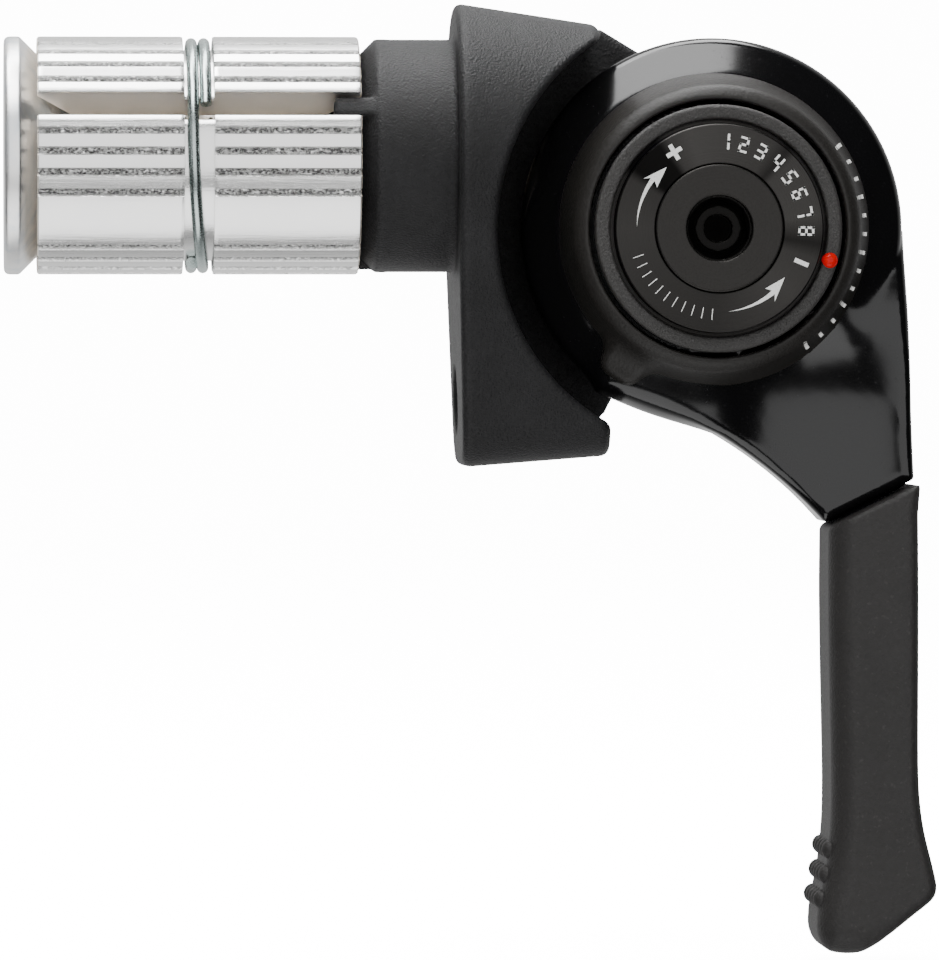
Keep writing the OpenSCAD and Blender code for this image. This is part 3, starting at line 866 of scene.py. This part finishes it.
def joint_side(px, py):
    """How far a point is above the slanted joint between the arm and its cover"""
    return (py - JOINT_AT[1]) * math.cos(JOINT_SLOPE) - (px - JOINT_AT[0]) * math.sin(JOINT_SLOPE)


def rim_slope(r, h):
    """How far a point is outside the bevel around the lever's rim"""
    return (h - RIM_H) * math.cos(RIM_LEAN) + (r - LEVER_R) * math.sin(RIM_LEAN)


def lever_field(x, y, z):
    px, py, h = head_axes(x, y, z)
    r, side = np.hypot(px, py), joint_side(px, py)
    rim = soft_max(r - LEVER_R, span(h, DRUM_H1, WEB_H + 0.4), 0.25)
    rim = soft_max(rim, rim_slope(r, h), 0.5)
    scoop = ARM_SCOOP_R - np.hypot(px - SCOOP_C[0], py - SCOOP_C[1])
    shape = soft_max(px + 0.04 * py - LEVER_R - 0.12, scoop, 0.5)
    shape = soft_max(soft_max(shape, 0.1 - side, 0.2), py, 0.2)
    shape = np.maximum(shape, -px - 8.6)
    rise = 0.9 * np.clip((-py - 12) / 9, 0, 1) ** 2
    top = RIM_H - 0.2 + (ARM_H1 - RIM_H + 0.1) * ease(-py / 8) + rise
    arm = soft_max(shape, span(h, ARM_H0, top), 0.3 + 0.65 * np.clip(side / 3, 0, 1))
    lever = soft_min(rim, arm, 0.03 + 1.6 * np.clip((-py - 3) / 6, 0, 1))
    bowl = np.sqrt((px - 8.4) ** 2 + (py + 17.0) ** 2 * 0.8 + (h - 20.2) ** 2) - 18
    lever = cut(cut(lever, 1.0, bowl), 0.15, r - DRUM_R - 0.3, h - DRUM_H1)
    tongue = shared(span(px, 10.4, 14.3), span(py, -50.9, -20.9), span(h, -2.7, 1.2), side - 0.5)
    neck = shared(span(px, 9.2, 15.2), span(side, -0.12, 1), span(h, -4.3, 1.2))
    lever = np.minimum(lever, np.minimum(tongue, neck))
    lever = cut(lever, 0.15, r - BOSS_BORE_R, WEB_H - h)
    return cut(lever, 0, r - HUB_R, -8 - h)


def boss_field(x, y, z):
    px, py, h = head_axes(x, y, z)
    r = np.hypot(px, py)
    side = (r - BOSS_BASE_R) * math.cos(BOSS_LEAN) + (h - BOSS_BASE_H) * math.sin(BOSS_LEAN)
    ring = soft_max(side, h - BOSS_TOP, 1.15)
    a = math.radians(LOBE_TURN)
    out, across = px * math.cos(a) + py * math.sin(a), -px * math.sin(a) + py * math.cos(a)
    lobe = soft_max(np.abs(across) - 1.75, span(out, 9.0, 13.9), 1.2)
    lobe = soft_max(lobe, h - 6.3 + (out - 11) * 0.35, 0.6)
    body = cut(soft_min(ring, lobe, 1.3), 0, rim_slope(r, h) + 0.35, h - 12)
    body = np.maximum(body, RIM_H - 0.3 - h)
    return cut(body, 0.22, r - BOSS_BORE_R - 0.1)


def build_lever():
    shell_piece("lever_arm", lever_field, HEAD + (-15, -6.0, -51.2), HEAD + (16.4, 4.2, 15.1), 0.25,
                gloss_black(), "lever", "gloss_black", ["lever"])
    low, high = HEAD + (-12.6, -BOSS_TOP - 0.2, -13.2), HEAD + (12.6, -2.2, 12.6)
    shell_piece("boss_collar", boss_field, low, high, 0.18, boss_black(), "lever", "ring_black", ["boss_ring"])


# ------------------------------------------------------------------ grip

GRIP_H0, GRIP_H1 = -5.7, 6.3
GRIP_SIDE = [
    (9.00, -15), (8.96, -20), (8.92, -25), (8.90, -28), (8.96, -33), (9.06, -38), (9.14, -42.5), (9.10, -45.5),
    (8.92, -47.8), (8.64, -49.8), (8.28, -51.6), (8.08, -53.0), (8.10, -54.4), (8.67, -55.5), (9.6, -55.9),
    (11.2, -55.88), (12.4, -55.3), (13.6, -54.4), (15.2, -53.1), (16.7, -51.9), (17.14, -51.2), (17.16, -50.4),
    (16.85, -49.0), (16.2, -46.3), (15.85, -43.5), (15.76, -40), (15.78, -34), (15.78, -28), (15.76, -22),
    (15.74, -15),
]
GRIP_LOOP = smooth_loop(GRIP_SIDE, 4)


def grip_field(x, y, z):
    px, py, h = head_axes(x, y, z)
    edge = 2.3 - 1.5 * ease((px - 9.6) / 5.0)
    top = GRIP_H1 - 0.35 * np.clip((py + 27) / 8, 0, 1)
    grip = soft_max(outline(GRIP_LOOP, px, py), span(h, GRIP_H0, top), edge)
    grip = soft_max(grip, joint_side(px, py) + 0.25, 0.35)
    return cut(grip, 0, np.hypot(px - 11.25, h - GRIP_H1) - 0.09)


def edge_x(y, right):
    """Where the grip's outline is at a height, on its left or right"""
    loop = np.array(GRIP_LOOP)
    middle = 12.3
    part = loop[(loop[:, 0] > middle) == right]
    part = part[np.argsort(part[:, 1])]
    return np.interp(y, part[:, 1], part[:, 0])


def build_grip():
    sizes = bpy.context.scene.shifter_sizes
    rubber = grip_rubber()
    low, high = HEAD + (7.5, -GRIP_H1 - 0.1, -56.1), HEAD + (17.6, -GRIP_H0 + 0.1, -18.5)
    shell_piece("grip_cover", grip_field, low, high, 0.22, rubber, "lever", "grip_rubber", ["lever_cover"])
    middle = (GRIP_H0 + GRIP_H1) / 2
    bars = [(HEAD_X + edge_x(y, True) - 0.02, -middle, HEAD_Z + y)
            for y in np.arange(-45.8, -20.3, sizes.grip_rib_pitch / MM)]
    rib_size = (0.34 * MM, 9.4 * MM, 0.28 * MM)
    scattered("grip_ribs", "Grip ribs", bars, [(1, 0, 0)] * len(bars), rib_size, 6, rubber, "lever", "grip_rubber")
    nubs = [(HEAD_X + edge_x(y, False) + 0.25, -middle - column * 1.95, HEAD_Z + y)
            for y in [-47.9 - 1.92 * row for row in range(sizes.nub_rows)] for column in range(-2, 3)]
    scattered("grip_nubs", "Grip nubs", nubs, [(-1, 0, -0.12)] * len(nubs), [sizes.nub] * 3, 10, rubber,
              "lever", "grip_rubber")


# ------------------------------------------------------------------ plug

GROOVE_ANGLES = (7.4, 17.5, 27.7, 37.7)         # degrees from a segment's edge
GROOVE_HALF_ANGLE = 2.1


def rib_depth_at(angle, depth):
    """Depth of the grooves at an angle from a segment's middle"""
    from_edge = SEG_HALF - np.abs(angle)
    groove = np.zeros_like(from_edge)
    for middle in GROOVE_ANGLES:
        groove = np.maximum(groove, np.clip((GROOVE_HALF_ANGLE - np.abs(from_edge - middle)) / 0.9, 0, 1))
    return depth * groove


def segment_mesh(turn, depth, seed):
    chance = np.random.RandomState(seed)
    offsets = np.array([-GROOVE_HALF_ANGLE, 0.9 - GROOVE_HALF_ANGLE, -0.55, 0, 0.55, GROOVE_HALF_ANGLE - 0.9,
                        GROOVE_HALF_ANGLE])
    edges = np.concatenate([SEG_HALF - middle + offsets for middle in GROOVE_ANGLES])
    plain = np.linspace(-SEG_HALF, SEG_HALF, 61)
    plain = plain[[np.abs(edges - abs(a)).min() > 0.5 for a in plain]]
    angles = np.unique(np.round(np.concatenate([plain, edges, -edges]), 3))
    g0, g1 = GROOVE_X - GROOVE_HALF, GROOVE_X + GROOVE_HALF
    stations = [SEG_X0, SEG_X0 + 0.12, SEG_X0 + 0.3]
    stations += list(np.linspace(SEG_X0 + 0.5, g0 - 0.15, 58)) + [g0 - 0.02, g0, g0 + 0.06]
    stations += list(np.linspace(g0 + 0.3, g1 - 0.3, 5)) + [g1 - 0.06, g1, g1 + 0.02]
    stations += list(np.linspace(g1 + 0.15, SEG_X1 - 0.5, 58)) + [SEG_X1 - 0.3, SEG_X1 - 0.12, SEG_X1]
    rows, rough = [], []
    torn = chance.normal(0, 0.05, (len(stations), len(angles)))
    for i, x in enumerate(stations):
        end = min(x - SEG_X0, SEG_X1 - x)
        ribs = rib_depth_at(angles, depth)
        outer = PLUG_R - max(0.0, 0.14 - end) - ribs
        outer += np.where(ribs > 0.02, torn[i], torn[i] * 0.02)
        if g0 < x < g1:
            outer = np.minimum(outer, GROOVE_R)
        elif abs(x - GROOVE_X) < GROOVE_HALF + 0.03:
            outer = outer - 0.05
        cone = max(9.05 - (x - SEG_X0), 9.0 - (SEG_X1 - x), 1.3)
        lift = np.radians(angles)
        cone_wall = 1.2 * np.cos(lift) + np.sqrt(cone ** 2 - (1.2 * np.sin(lift)) ** 2)
        inner = np.maximum(SEG_BORE_R, cone_wall - 1.2)
        inner = np.minimum(inner, outer - 0.12)
        inset = np.clip((np.abs(angles) - SEG_HALF + 0.6) / 0.6, 0, 1) ** 3 * 0.08
        loop = np.concatenate([around_plug(turn + angles, outer - inset, x),
                               around_plug(turn + angles[::-1], inner, x)])
        rows.append(loop)
        rough.append(np.stack([np.append(rib_depth_at(angles, 1.0) * (not g0 < x < g1), 0 * angles),
                               np.append(0 * angles + (end < 0.1), 0 * angles + 1)], 1))
    count = len(rows[0])
    points = np.concatenate(rows)
    faces = []
    around = np.arange(count)
    after = (around + 1) % count
    for i in range(len(rows) - 1):
        a, b = i * count, (i + 1) * count
        faces += np.stack([a + around, b + around, b + after, a + after], 1).tolist()
    half = count // 2
    for row, flip in ((0, False), (len(rows) - 1, True)):
        a = row * count
        for k in range(half - 1):
            quad = [a + k, a + k + 1, a + count - 2 - k, a + count - 1 - k]
            faces.append(quad[::-1] if flip else quad)
    return points, faces, np.concatenate(rough)


def thread_mesh(x0, x1, pitch, core, crest, around=56):
    """A threaded rod along the plug's axis, with chamfered ends"""
    stations = np.arange(x0, x1 + 0.01, pitch / 12)[:, None]
    angle = np.linspace(0, 2 * math.pi, around, endpoint=False)
    phase = (stations / pitch - angle / (2 * math.pi)) % 1
    height = np.clip(np.abs(phase - 0.5) * 2.5 - 0.12, 0, 1)
    end = np.minimum(stations - x0, x1 - stations)
    radius = np.minimum(core + (crest - core) * height, core - 0.3 + end)
    points = np.stack([stations + 0 * angle, radius * np.cos(angle), radius * np.sin(angle)], 2)
    points = points.reshape(-1, 3).tolist()
    faces = ring_faces(len(stations), around)
    close_ends(points, faces, around, [x0, 0, 0], [x1, 0, 0])
    return np.array(points), faces


def coil_path(low, high):
    turn = np.linspace(low, high, max(8, int((high - low) / 3)))
    return around_plug(turn, COIL_R, GROOVE_X + COIL_STEP * (0.5 - ease((turn - 250) / 125)))


COIL_FROM, COIL_TO, COIL_LAP = 26, 646, 6.5    # degrees; each arc runs on over its neighbours
COIL_ARCS = {"b": [(26, 145), (385, 505)], "c": [(145, 265), (505, 625)], "a": [(265, 385), (625, 646)]}


def build_plug():
    sizes = bpy.context.scene.shifter_sizes
    for number, (letter, turn) in enumerate(SEG_TURNS.items()):
        points, faces, rough = segment_mesh(turn, sizes.rib_depth / MM, 11 + number)
        segment = piece("segment_" + letter, points, facing_out(points, faces), plug_aluminium(),
                        "segment_" + letter, "plug_aluminium", ["plug_segment_" + letter], 28)
        for name, values in zip(("torn", "cut"), rough.T):
            layer = segment.data.attributes.new(name, "FLOAT", "POINT")
            layer.data.foreach_set("value", values.astype(np.float32))
    for letter, arcs in COIL_ARCS.items():
        points, edges = [], []
        for low, high in arcs:
            path = coil_path(max(COIL_FROM, low - COIL_LAP), min(COIL_TO, high + COIL_LAP))
            edges += [(len(points) + i, len(points) + i + 1) for i in range(len(path) - 1)]
            points += path.tolist()
        tree = sweep_tree(coil_zinc(), sizes.wire / 2)
        coil = tree.run("coil_" + letter, points_mesh("coil_path_" + letter, points, edges))
        finish_piece(coil, coil_zinc(), "segment_" + letter, "coil_zinc",
                     ["retaining_coil"] if letter == "a" else (), 60)
    rim = NUT_X0 + 1.2
    profile = rounded([(BOLT_R + 0.05, NUT_X0), (PLUG_R, NUT_X0), (PLUG_R, rim), (TIP_R, NUT_TIP_X),
                       (BOLT_R + 0.05, NUT_TIP_X)], [0.15, 0.5, 0.16, 0.2, 0.1])
    turned_piece("cone_nut_turned", profile, 160, on_plug, nut_zinc(), "cone_nut", "nut_zinc", ["cone_nut"], 35)


def build_bolt():
    low, high = box_mm("expander_bolt")
    end = high[0]
    pitch = bpy.context.scene.shifter_sizes.pitch / MM
    rod_points, rod_faces = thread_mesh(low[0], end - 6.0, pitch, BOLT_R - 0.62, BOLT_R)

    def head(x, y, z):
        knob = soft_max(np.hypot(y, z) - 5.0, span(x, end - 6, end - 0.55), 0.35)
        return cut(knob, 0.1, hexagon(y, z, 2.5), end - 3 - x)

    middle = np.array([end - 3.0, 0, 0])
    head_points, head_faces = shell(head, middle - (3.1, 5.1, 5.1), middle + (3.1, 5.1, 5.1), 0.2)
    faces = facing_out(rod_points, rod_faces) + (head_faces + len(rod_points)).tolist()
    piece("expander_bolt_threaded", np.concatenate([rod_points, head_points]), faces, bolt_steel(),
          "expander_bolt", "bolt_steel", ["expander_bolt"], 50)


# ------------------------------------------------------------------ dial

def screw_head_field(x, y, z):
    px, py, h = head_axes(x, y, z)
    r = np.hypot(px, py)
    head = soft_max(r - HEAD_SCREW_R, span(h, SCREW_SEAT, BOLT_TOP), 0.14)
    head = cut(head, 0.16, r - 2.5, BOLT_TOP - 1.0 - h)
    head = cut(head, 0.05, hexagon(px, py, 2.08, 10), BOLT_TOP - 2.0 - h)
    head = np.minimum(head, shared(r - 1.75, span(h, SCREW_SEAT + 0.3, BOLT_TOP - 1.55)))
    return cut(head, 0.12, r - 1.05, SCREW_SEAT + 0.25 - h)


def build_dial():
    seat = SCREW_SEAT - 0.02
    dial = rounded([(2.7, 7.4), (9.3, 7.4), (9.3, 8.4), (DIAL_R, 8.4), (DIAL_R, DIAL_TOP), (4.96, DIAL_TOP),
                    (4.96, seat), (2.7, seat)], [0.1, 0.1, 0.1, 0.05, 0.16, 0.1, 0.05, 0.05])
    turned_piece("dial_turned", dial, 192, on_head, dial_black(), "dial", "dial_black", ["dial_plate"], 35)
    ring = rounded([(RING_R0 + 0.08, 8.4), (RING_R1, 8.4), (RING_R1, RING_TOP), (RING_R0 + 0.08, RING_TOP)],
                   [0.05, 0.05, 0.34, 0.3], 6)
    turned_piece("pointer_ring_grained", ring, 192, on_head, ring_black(), "dial", "ring_black",
                 ["pointer_ring"], 50)
    across, up = polar((RING_R0 + RING_R1) / 2, POINTER_TURN)
    drop = rounded([(0, 8.8), (0.6, 8.8), (0.6, RING_TOP + 0.05), (0.38, RING_TOP + 0.34), (0, RING_TOP + 0.42)],
                   [0, 0.1, 0.2, 0.2, 0], 5)
    turned_piece("pointer_dot", drop, 48, lambda points: on_head(points) + (across, 0, up), pointer_red(),
                 "dial", "pointer_red", ["red_dot"], 60)
    head_points, head_faces = shell(screw_head_field, HEAD + (-5, -BOLT_TOP - 0.1, -5),
                                    HEAD + (5, -SCREW_SEAT + 0.1, 5), 0.1)
    low, high = BACK_H + 0.5, SCREW_SEAT + 0.1
    shank = rounded([(0, low), (SCREW_R, low), (SCREW_R, high), (0, high)], [0, 0.4, 0, 0])
    points, faces = turned(shank, 64)
    points = on_head(points)
    faces = facing_out(points, faces) + (head_faces + len(points)).tolist()
    piece("adjusting_bolt", np.concatenate([points, head_points]), faces, bolt_black(), "friction_bolt",
          "bolt_black", ["friction_bolt"], 40)


def flat_plate(name, shapes, low, high, material, body):
    """Raised flat print, from outlines on the pivot's face"""
    points, faces = [], []
    for shape in shapes:
        start, n = len(points), len(shape)
        area = sum(a[0] * b[1] - b[0] * a[1] for a, b in zip(shape, shape[1:] + shape[:1]))
        shape = shape if area > 0 else shape[::-1]
        points += [(HEAD_X + x, -low, HEAD_Z + y) for x, y in shape]
        points += [(HEAD_X + x, -high, HEAD_Z + y) for x, y in shape]
        faces.append([start + n + k for k in range(n)])
        faces.append([start + k for k in range(n)][::-1])
        faces += [[start + k, start + (k + 1) % n, start + n + (k + 1) % n, start + n + k] for k in range(n)]
    piece(name, points, faces, material, body, None, (), 30)


def polar(r, degrees):
    a = math.radians(degrees)
    return r * math.cos(a), r * math.sin(a)


def on_circle(r, degrees, corners):
    """Corners around a point of a circle, measured outwards and sideways"""
    centre, u = np.array(polar(r, degrees)), np.array(polar(1, degrees))
    v = np.array([-u[1], u[0]])
    return [tuple(centre + u * p + v * q) for p, q in corners]


def bar_at(r, degrees, length, width):
    """A bar on a circle, along the radius"""
    a, b = length / 2, width / 2
    return on_circle(r, degrees, [(-a, -b), (a, -b), (a, b), (-a, b)])


def plus_at(r, degrees, length, width):
    """A plus sign on a circle"""
    a, b = length / 2, width / 2
    return on_circle(r, degrees, [(a, -b), (a, b), (b, b), (b, a), (-b, a), (-b, b),
                                  (-a, b), (-a, -b), (-b, -b), (-b, -a), (b, -a), (b, -b)])


def crescent(r, start, end, width, head):
    """An arrow that follows the dial's edge, with a thin tail that grows to its head"""
    turns = np.linspace(start, end, 15)
    way = 1 if end > start else -1
    outer = [polar(r + width * k / 14 / 2, t) for k, t in enumerate(turns)]
    inner = [polar(r - width * k / 14 / 2, t) for k, t in enumerate(turns)]
    tip = [polar(r + head, end - way * 3), polar(r - 0.15, end + way * 13), polar(r - head, end - way * 3)]
    return outer + tip + inner[::-1]


def numeral(figure, r, degrees, size):
    """Outlines of a figure on the dial, made of bars"""
    strokes = {
        "top": ((-0.5, 1), (0.5, 1)), "mid": ((-0.5, 0), (0.5, 0)), "low": ((-0.5, -1), (0.5, -1)),
        "ul": ((-0.5, 0), (-0.5, 1)), "ll": ((-0.5, -1), (-0.5, 0)),
        "ur": ((0.5, 0), (0.5, 1)), "lr": ((0.5, -1), (0.5, 0)),
    }
    on = ["ur lr", "top ur mid ll low", "top ur mid lr low", "ul mid ur lr", "top ul mid lr low",
          "top ul mid ll lr low", "top ur lr", "top mid low ul ll ur lr"][figure - 1].split()
    up = np.array(polar(1, degrees))
    across = np.array([up[1], -up[0]])
    centre = np.array(polar(r, degrees))
    shapes = []
    for key in on:
        a, b = [np.array(p) * size / 2 for p in strokes[key]]
        along = (b - a) / np.linalg.norm(b - a)
        side = np.array([-along[1], along[0]]) * size * 0.085
        a, b = a - along * size * 0.08, b + along * size * 0.08
        corners = (a - side, b - side, b + side, a + side)
        shapes.append([tuple(centre + across * p[0] + up * p[1]) for p in corners])
    return shapes


def build_print():
    sizes = bpy.context.scene.shifter_sizes
    shapes = [plus_at(6.78, 121, 1.30, 0.34), bar_at(6.80, -22.7, 1.15, 0.34)]
    shapes += [crescent(6.35, 179, 144, 0.36, 0.62), crescent(6.4, -84, -50, 0.36, 0.62)]
    for figure in range(1, 9):
        shapes += numeral(figure, 6.65, 99 - 12.6 * figure, 1.05)
    flat_plate("dial_print", shapes, DIAL_TOP - 0.02, DIAL_TOP + sizes.print_height / MM, print_white(), "dial")
    spots = [polar(6.6, 199 + 6.6 * k) for k in range(11)]
    tick_size = (0.85 * MM, 0.2 * MM, 2 * sizes.print_height)
    scattered("dial_ticks", "Dial ticks", [(HEAD_X + x, -DIAL_TOP, HEAD_Z + y) for x, y in spots],
              [(x, 0, y) for x, y in spots], tick_size, 0, print_white(), "dial")


def boss_surface(r, turn):
    """The point of the boss's shoulder at a radius and a turn"""
    across, up = polar(r, turn)
    h = np.linspace(BOSS_TOP - 2.2, BOSS_TOP + 0.1, 200)
    x, z = HEAD_X + across, HEAD_Z + up
    return x, -h[np.argmin(np.abs(boss_field(x, -h, z)))], z


def build_marks():
    """Short marks around the boss's shoulder, as strips that lie on it"""
    rows, columns = 5, 4
    points, sheet = [], []
    for k in range(13):
        turn, tall = 34 - 7.2 * k, 0.62 if k % 3 == 0 else 0.36
        for i in range(rows - 1):
            a = len(points) + i * columns
            sheet += [[a + columns + j, a + columns + j + 1, a + j + 1, a + j] for j in range(columns - 1)]
        for r in np.linspace(MARK_R - tall, MARK_R, rows):
            points += [boss_surface(r, turn + lean) for lean in np.linspace(-0.75, 0.75, columns)]
    count = len(points)
    both = np.concatenate([np.array(points) - (0, 0.03, 0), np.array(points) + (0, 0.02, 0)])
    edges = {(a, b) for f in sheet for a, b in zip(f, f[1:] + f[:1])}
    solid = sheet + [[i + count for i in f[::-1]] for f in sheet]
    solid += [[b, a, a + count, b + count] for a, b in sorted(edges) if (b, a) not in edges]
    piece("boss_marks", both, facing_out(both, solid), print_white(), "lever", None, (), 60)


# ------------------------------------------------------------------ parts inside

INNER = {
    "rear_nut": washer_steel, "stop_pin": washer_steel, "pivot_sleeve": washer_steel,
    "lower_friction_washer": friction_fibre, "upper_friction_washer": friction_fibre, "dust_seal": seal_rubber,
    "pressure_plate": washer_steel, "expander_washer": washer_steel, "spring_washer": washer_steel,
    "cable_drum": drum_plastic, "drum_screws": washer_steel, "pivot_bush": bush_brass,
}


def paint_inner():
    for name, finish in INNER.items():
        node = frame["nodes"][name]
        slots = node.material_slots
        if not len(slots):
            node.data.materials.append(finish())
        for slot in slots:
            slot.material = finish()


# ------------------------------------------------------------------ stage

FLOOR_Z = -62.5
EYE, LOOKED_AT, LENS = (-0.038, -0.6995, -0.014), (0.0013, 0.0, -0.0251), 339
LIT = (0.0, 0.0, -0.02)                       # where every light points, in metres
WORLD_FRONT, WORLD_BACK = 0.03, 1.1
LIGHTS = [
    ("softbox_top", (-0.14, -0.30, 0.75), (0.58, 0.5), 11.0),
    ("softbox_back", (-0.10, 0.20, 0.80), (0.8, 0.35), 13.0),
    ("softbox_left", (-0.8, -0.5, 0.15), (0.3, 0.7), 0.7),
    ("front_card", (0.05, -1.15, 0.08), (1.5, 1.25), 11.5),
    ("card_low", (-0.1, -0.36, -0.72), (0.9, 0.75), 5.5),
]
BOWL = [(0, 0), (1400, 0), (1900, 40), (2300, 180), (2600, 460), (2800, 900), (2880, 1600), (2900, 3200)]


def stage_material():
    m = Finish("pale_floor", "floor", Roughness=0.9, Emission_Color=(1, 1, 1), Emission_Strength=14.0)
    return m.use(Base_Color=m.tone(m.noise(3, 2), 0.99, 1))


def build_world():
    """Soft light from all round: bright behind and to the sides of the object, dim from the front"""
    world = bpy.data.worlds.new("studio")
    world.use_nodes = True
    tree = world.node_tree
    sky = tree.nodes["Background"]
    spot = tree.nodes.new("ShaderNodeTexCoord")
    parts = tree.nodes.new("ShaderNodeSeparateXYZ")
    ramp = tree.nodes.new("ShaderNodeMapRange")
    tree.links.new(spot.outputs["Generated"], parts.inputs[0])
    tree.links.new(parts.outputs["Y"], ramp.inputs["Value"])
    for name, value in {"From Min": 0.0, "From Max": 0.7, "To Min": WORLD_FRONT, "To Max": WORLD_BACK}.items():
        ramp.inputs[name].default_value = value
    sky.inputs["Color"].default_value = (1, 1, 1, 1)
    tree.links.new(ramp.outputs["Result"], sky.inputs["Strength"])
    bpy.context.scene.world = world


def build_stage():
    at = np.arange(0, len(BOWL) - 0.75, 0.25)
    fine = np.stack([np.interp(at, range(len(BOWL)), values) for values in zip(*BOWL)], 1)
    steps = 96
    angle = np.linspace(0, 2 * math.pi, steps, endpoint=False)
    points = [(0, 0, FLOOR_Z)]
    for r, z in fine[1:]:
        points += [(r * math.cos(a), r * math.sin(a), FLOOR_Z + z) for a in angle]
    faces = [[0, 1 + k, 1 + (k + 1) % steps] for k in range(steps)]
    faces += [[1 + k for k in face[::-1]] for face in ring_faces(len(fine) - 1, steps)]
    mesh = bpy.data.meshes.new("floor")
    mesh.from_pydata((np.array(points) * MM).tolist(), [], faces)
    mesh.shade_smooth()
    mesh.materials.append(stage_material())
    floor = bpy.data.objects.new("floor", mesh)
    bpy.context.scene.collection.objects.link(floor)
    floor.visible_glossy = floor.visible_diffuse = floor.visible_shadow = False
    build_world()
    target = Vector(LIT)
    for name, spot, size, power in LIGHTS:
        lamp = bpy.data.lights.new(name, "AREA")
        lamp.shape = "RECTANGLE"
        lamp.size, lamp.size_y = size
        lamp.energy = power
        light = bpy.data.objects.new(name, lamp)
        light.location = spot
        light.rotation_euler = (target - Vector(spot)).to_track_quat("-Z", "Y").to_euler()
        bpy.context.scene.collection.objects.link(light)
    camera = bpy.data.cameras.new("camera")
    camera.lens, camera.sensor_width = LENS, 36
    camera.clip_start, camera.clip_end = 0.05, 20
    eye = bpy.data.objects.new("camera", camera)
    eye.location = EYE
    aim = Vector(LOOKED_AT) - eye.location
    eye.rotation_euler = aim.to_track_quat("-Z", "Y").to_euler()
    bpy.context.scene.collection.objects.link(eye)
    bpy.context.scene.camera = eye



# ------------------------------------------------------------------ operators and panel

def step_operator(key, label, note, job):
    """An operator that runs one step of the build"""
    def execute(self, context):
        job()
        return {"FINISHED"}
    return type("SHIFTER_OT_" + key, (bpy.types.Operator,), {
        "bl_idname": "shifter." + key, "bl_label": label, "bl_options": {"REGISTER", "UNDO"},
        "__doc__": note, "execute": execute,
    })


STEPS = [step_operator(*step) for step in (
    ("body", "Cast body", "Makes the cast body with its neck, seat and floor", build_body),
    ("lever", "Lever", "Makes the gloss lever and the matte collar around the dial", build_lever),
    ("grip", "Grip", "Makes the rubber cover with its ribs and nubs", build_grip),
    ("plug", "Expanding plug", "Makes the three segments, the wire coil and the cone nut", build_plug),
    ("bolt", "Expander bolt", "Makes the threaded bolt inside the plug", build_bolt),
    ("dial", "Dial", "Makes the dial, pointer ring, red dot and adjusting bolt", build_dial),
    ("dial_print", "Dial print", "Makes the print on the dial", build_print),
    ("boss_marks", "Boss marks", "Makes the white marks around the collar", build_marks),
    ("inner", "Inner parts", "Gives the parts inside their finishes", paint_inner),
    ("stage", "Stage", "Makes the floor, the lights and the camera", build_stage),
)]


class SHIFTER_PT_build(bpy.types.Panel):
    """Lists the steps of the build"""
    bl_label = "Bar-end shifter"
    bl_idname = "SHIFTER_PT_build"
    bl_space_type = "VIEW_3D"
    bl_region_type = "UI"
    bl_category = "Shifter"

    def draw(self, context):
        for step in STEPS:
            self.layout.operator(step.bl_idname)
        for group in (context.scene.shifter_sizes, context.scene.shifter_colours):
            for key in group.__annotations__:
                self.layout.prop(group, key)


CLASSES = [ShifterSizes, ShifterColours, *STEPS, SHIFTER_PT_build]


def register():
    for item in CLASSES:
        bpy.utils.register_class(item)
    bpy.types.Scene.shifter_sizes = PointerProperty(type=ShifterSizes)
    bpy.types.Scene.shifter_colours = PointerProperty(type=ShifterColours)


def unregister():
    del bpy.types.Scene.shifter_colours
    del bpy.types.Scene.shifter_sizes
    for item in reversed(CLASSES):
        bpy.utils.unregister_class(item)


def main():
    register()
    for step in STEPS:
        group, name = step.bl_idname.split(".")
        getattr(getattr(bpy.ops, group), name)()


if __name__ == "__main__":
    main()
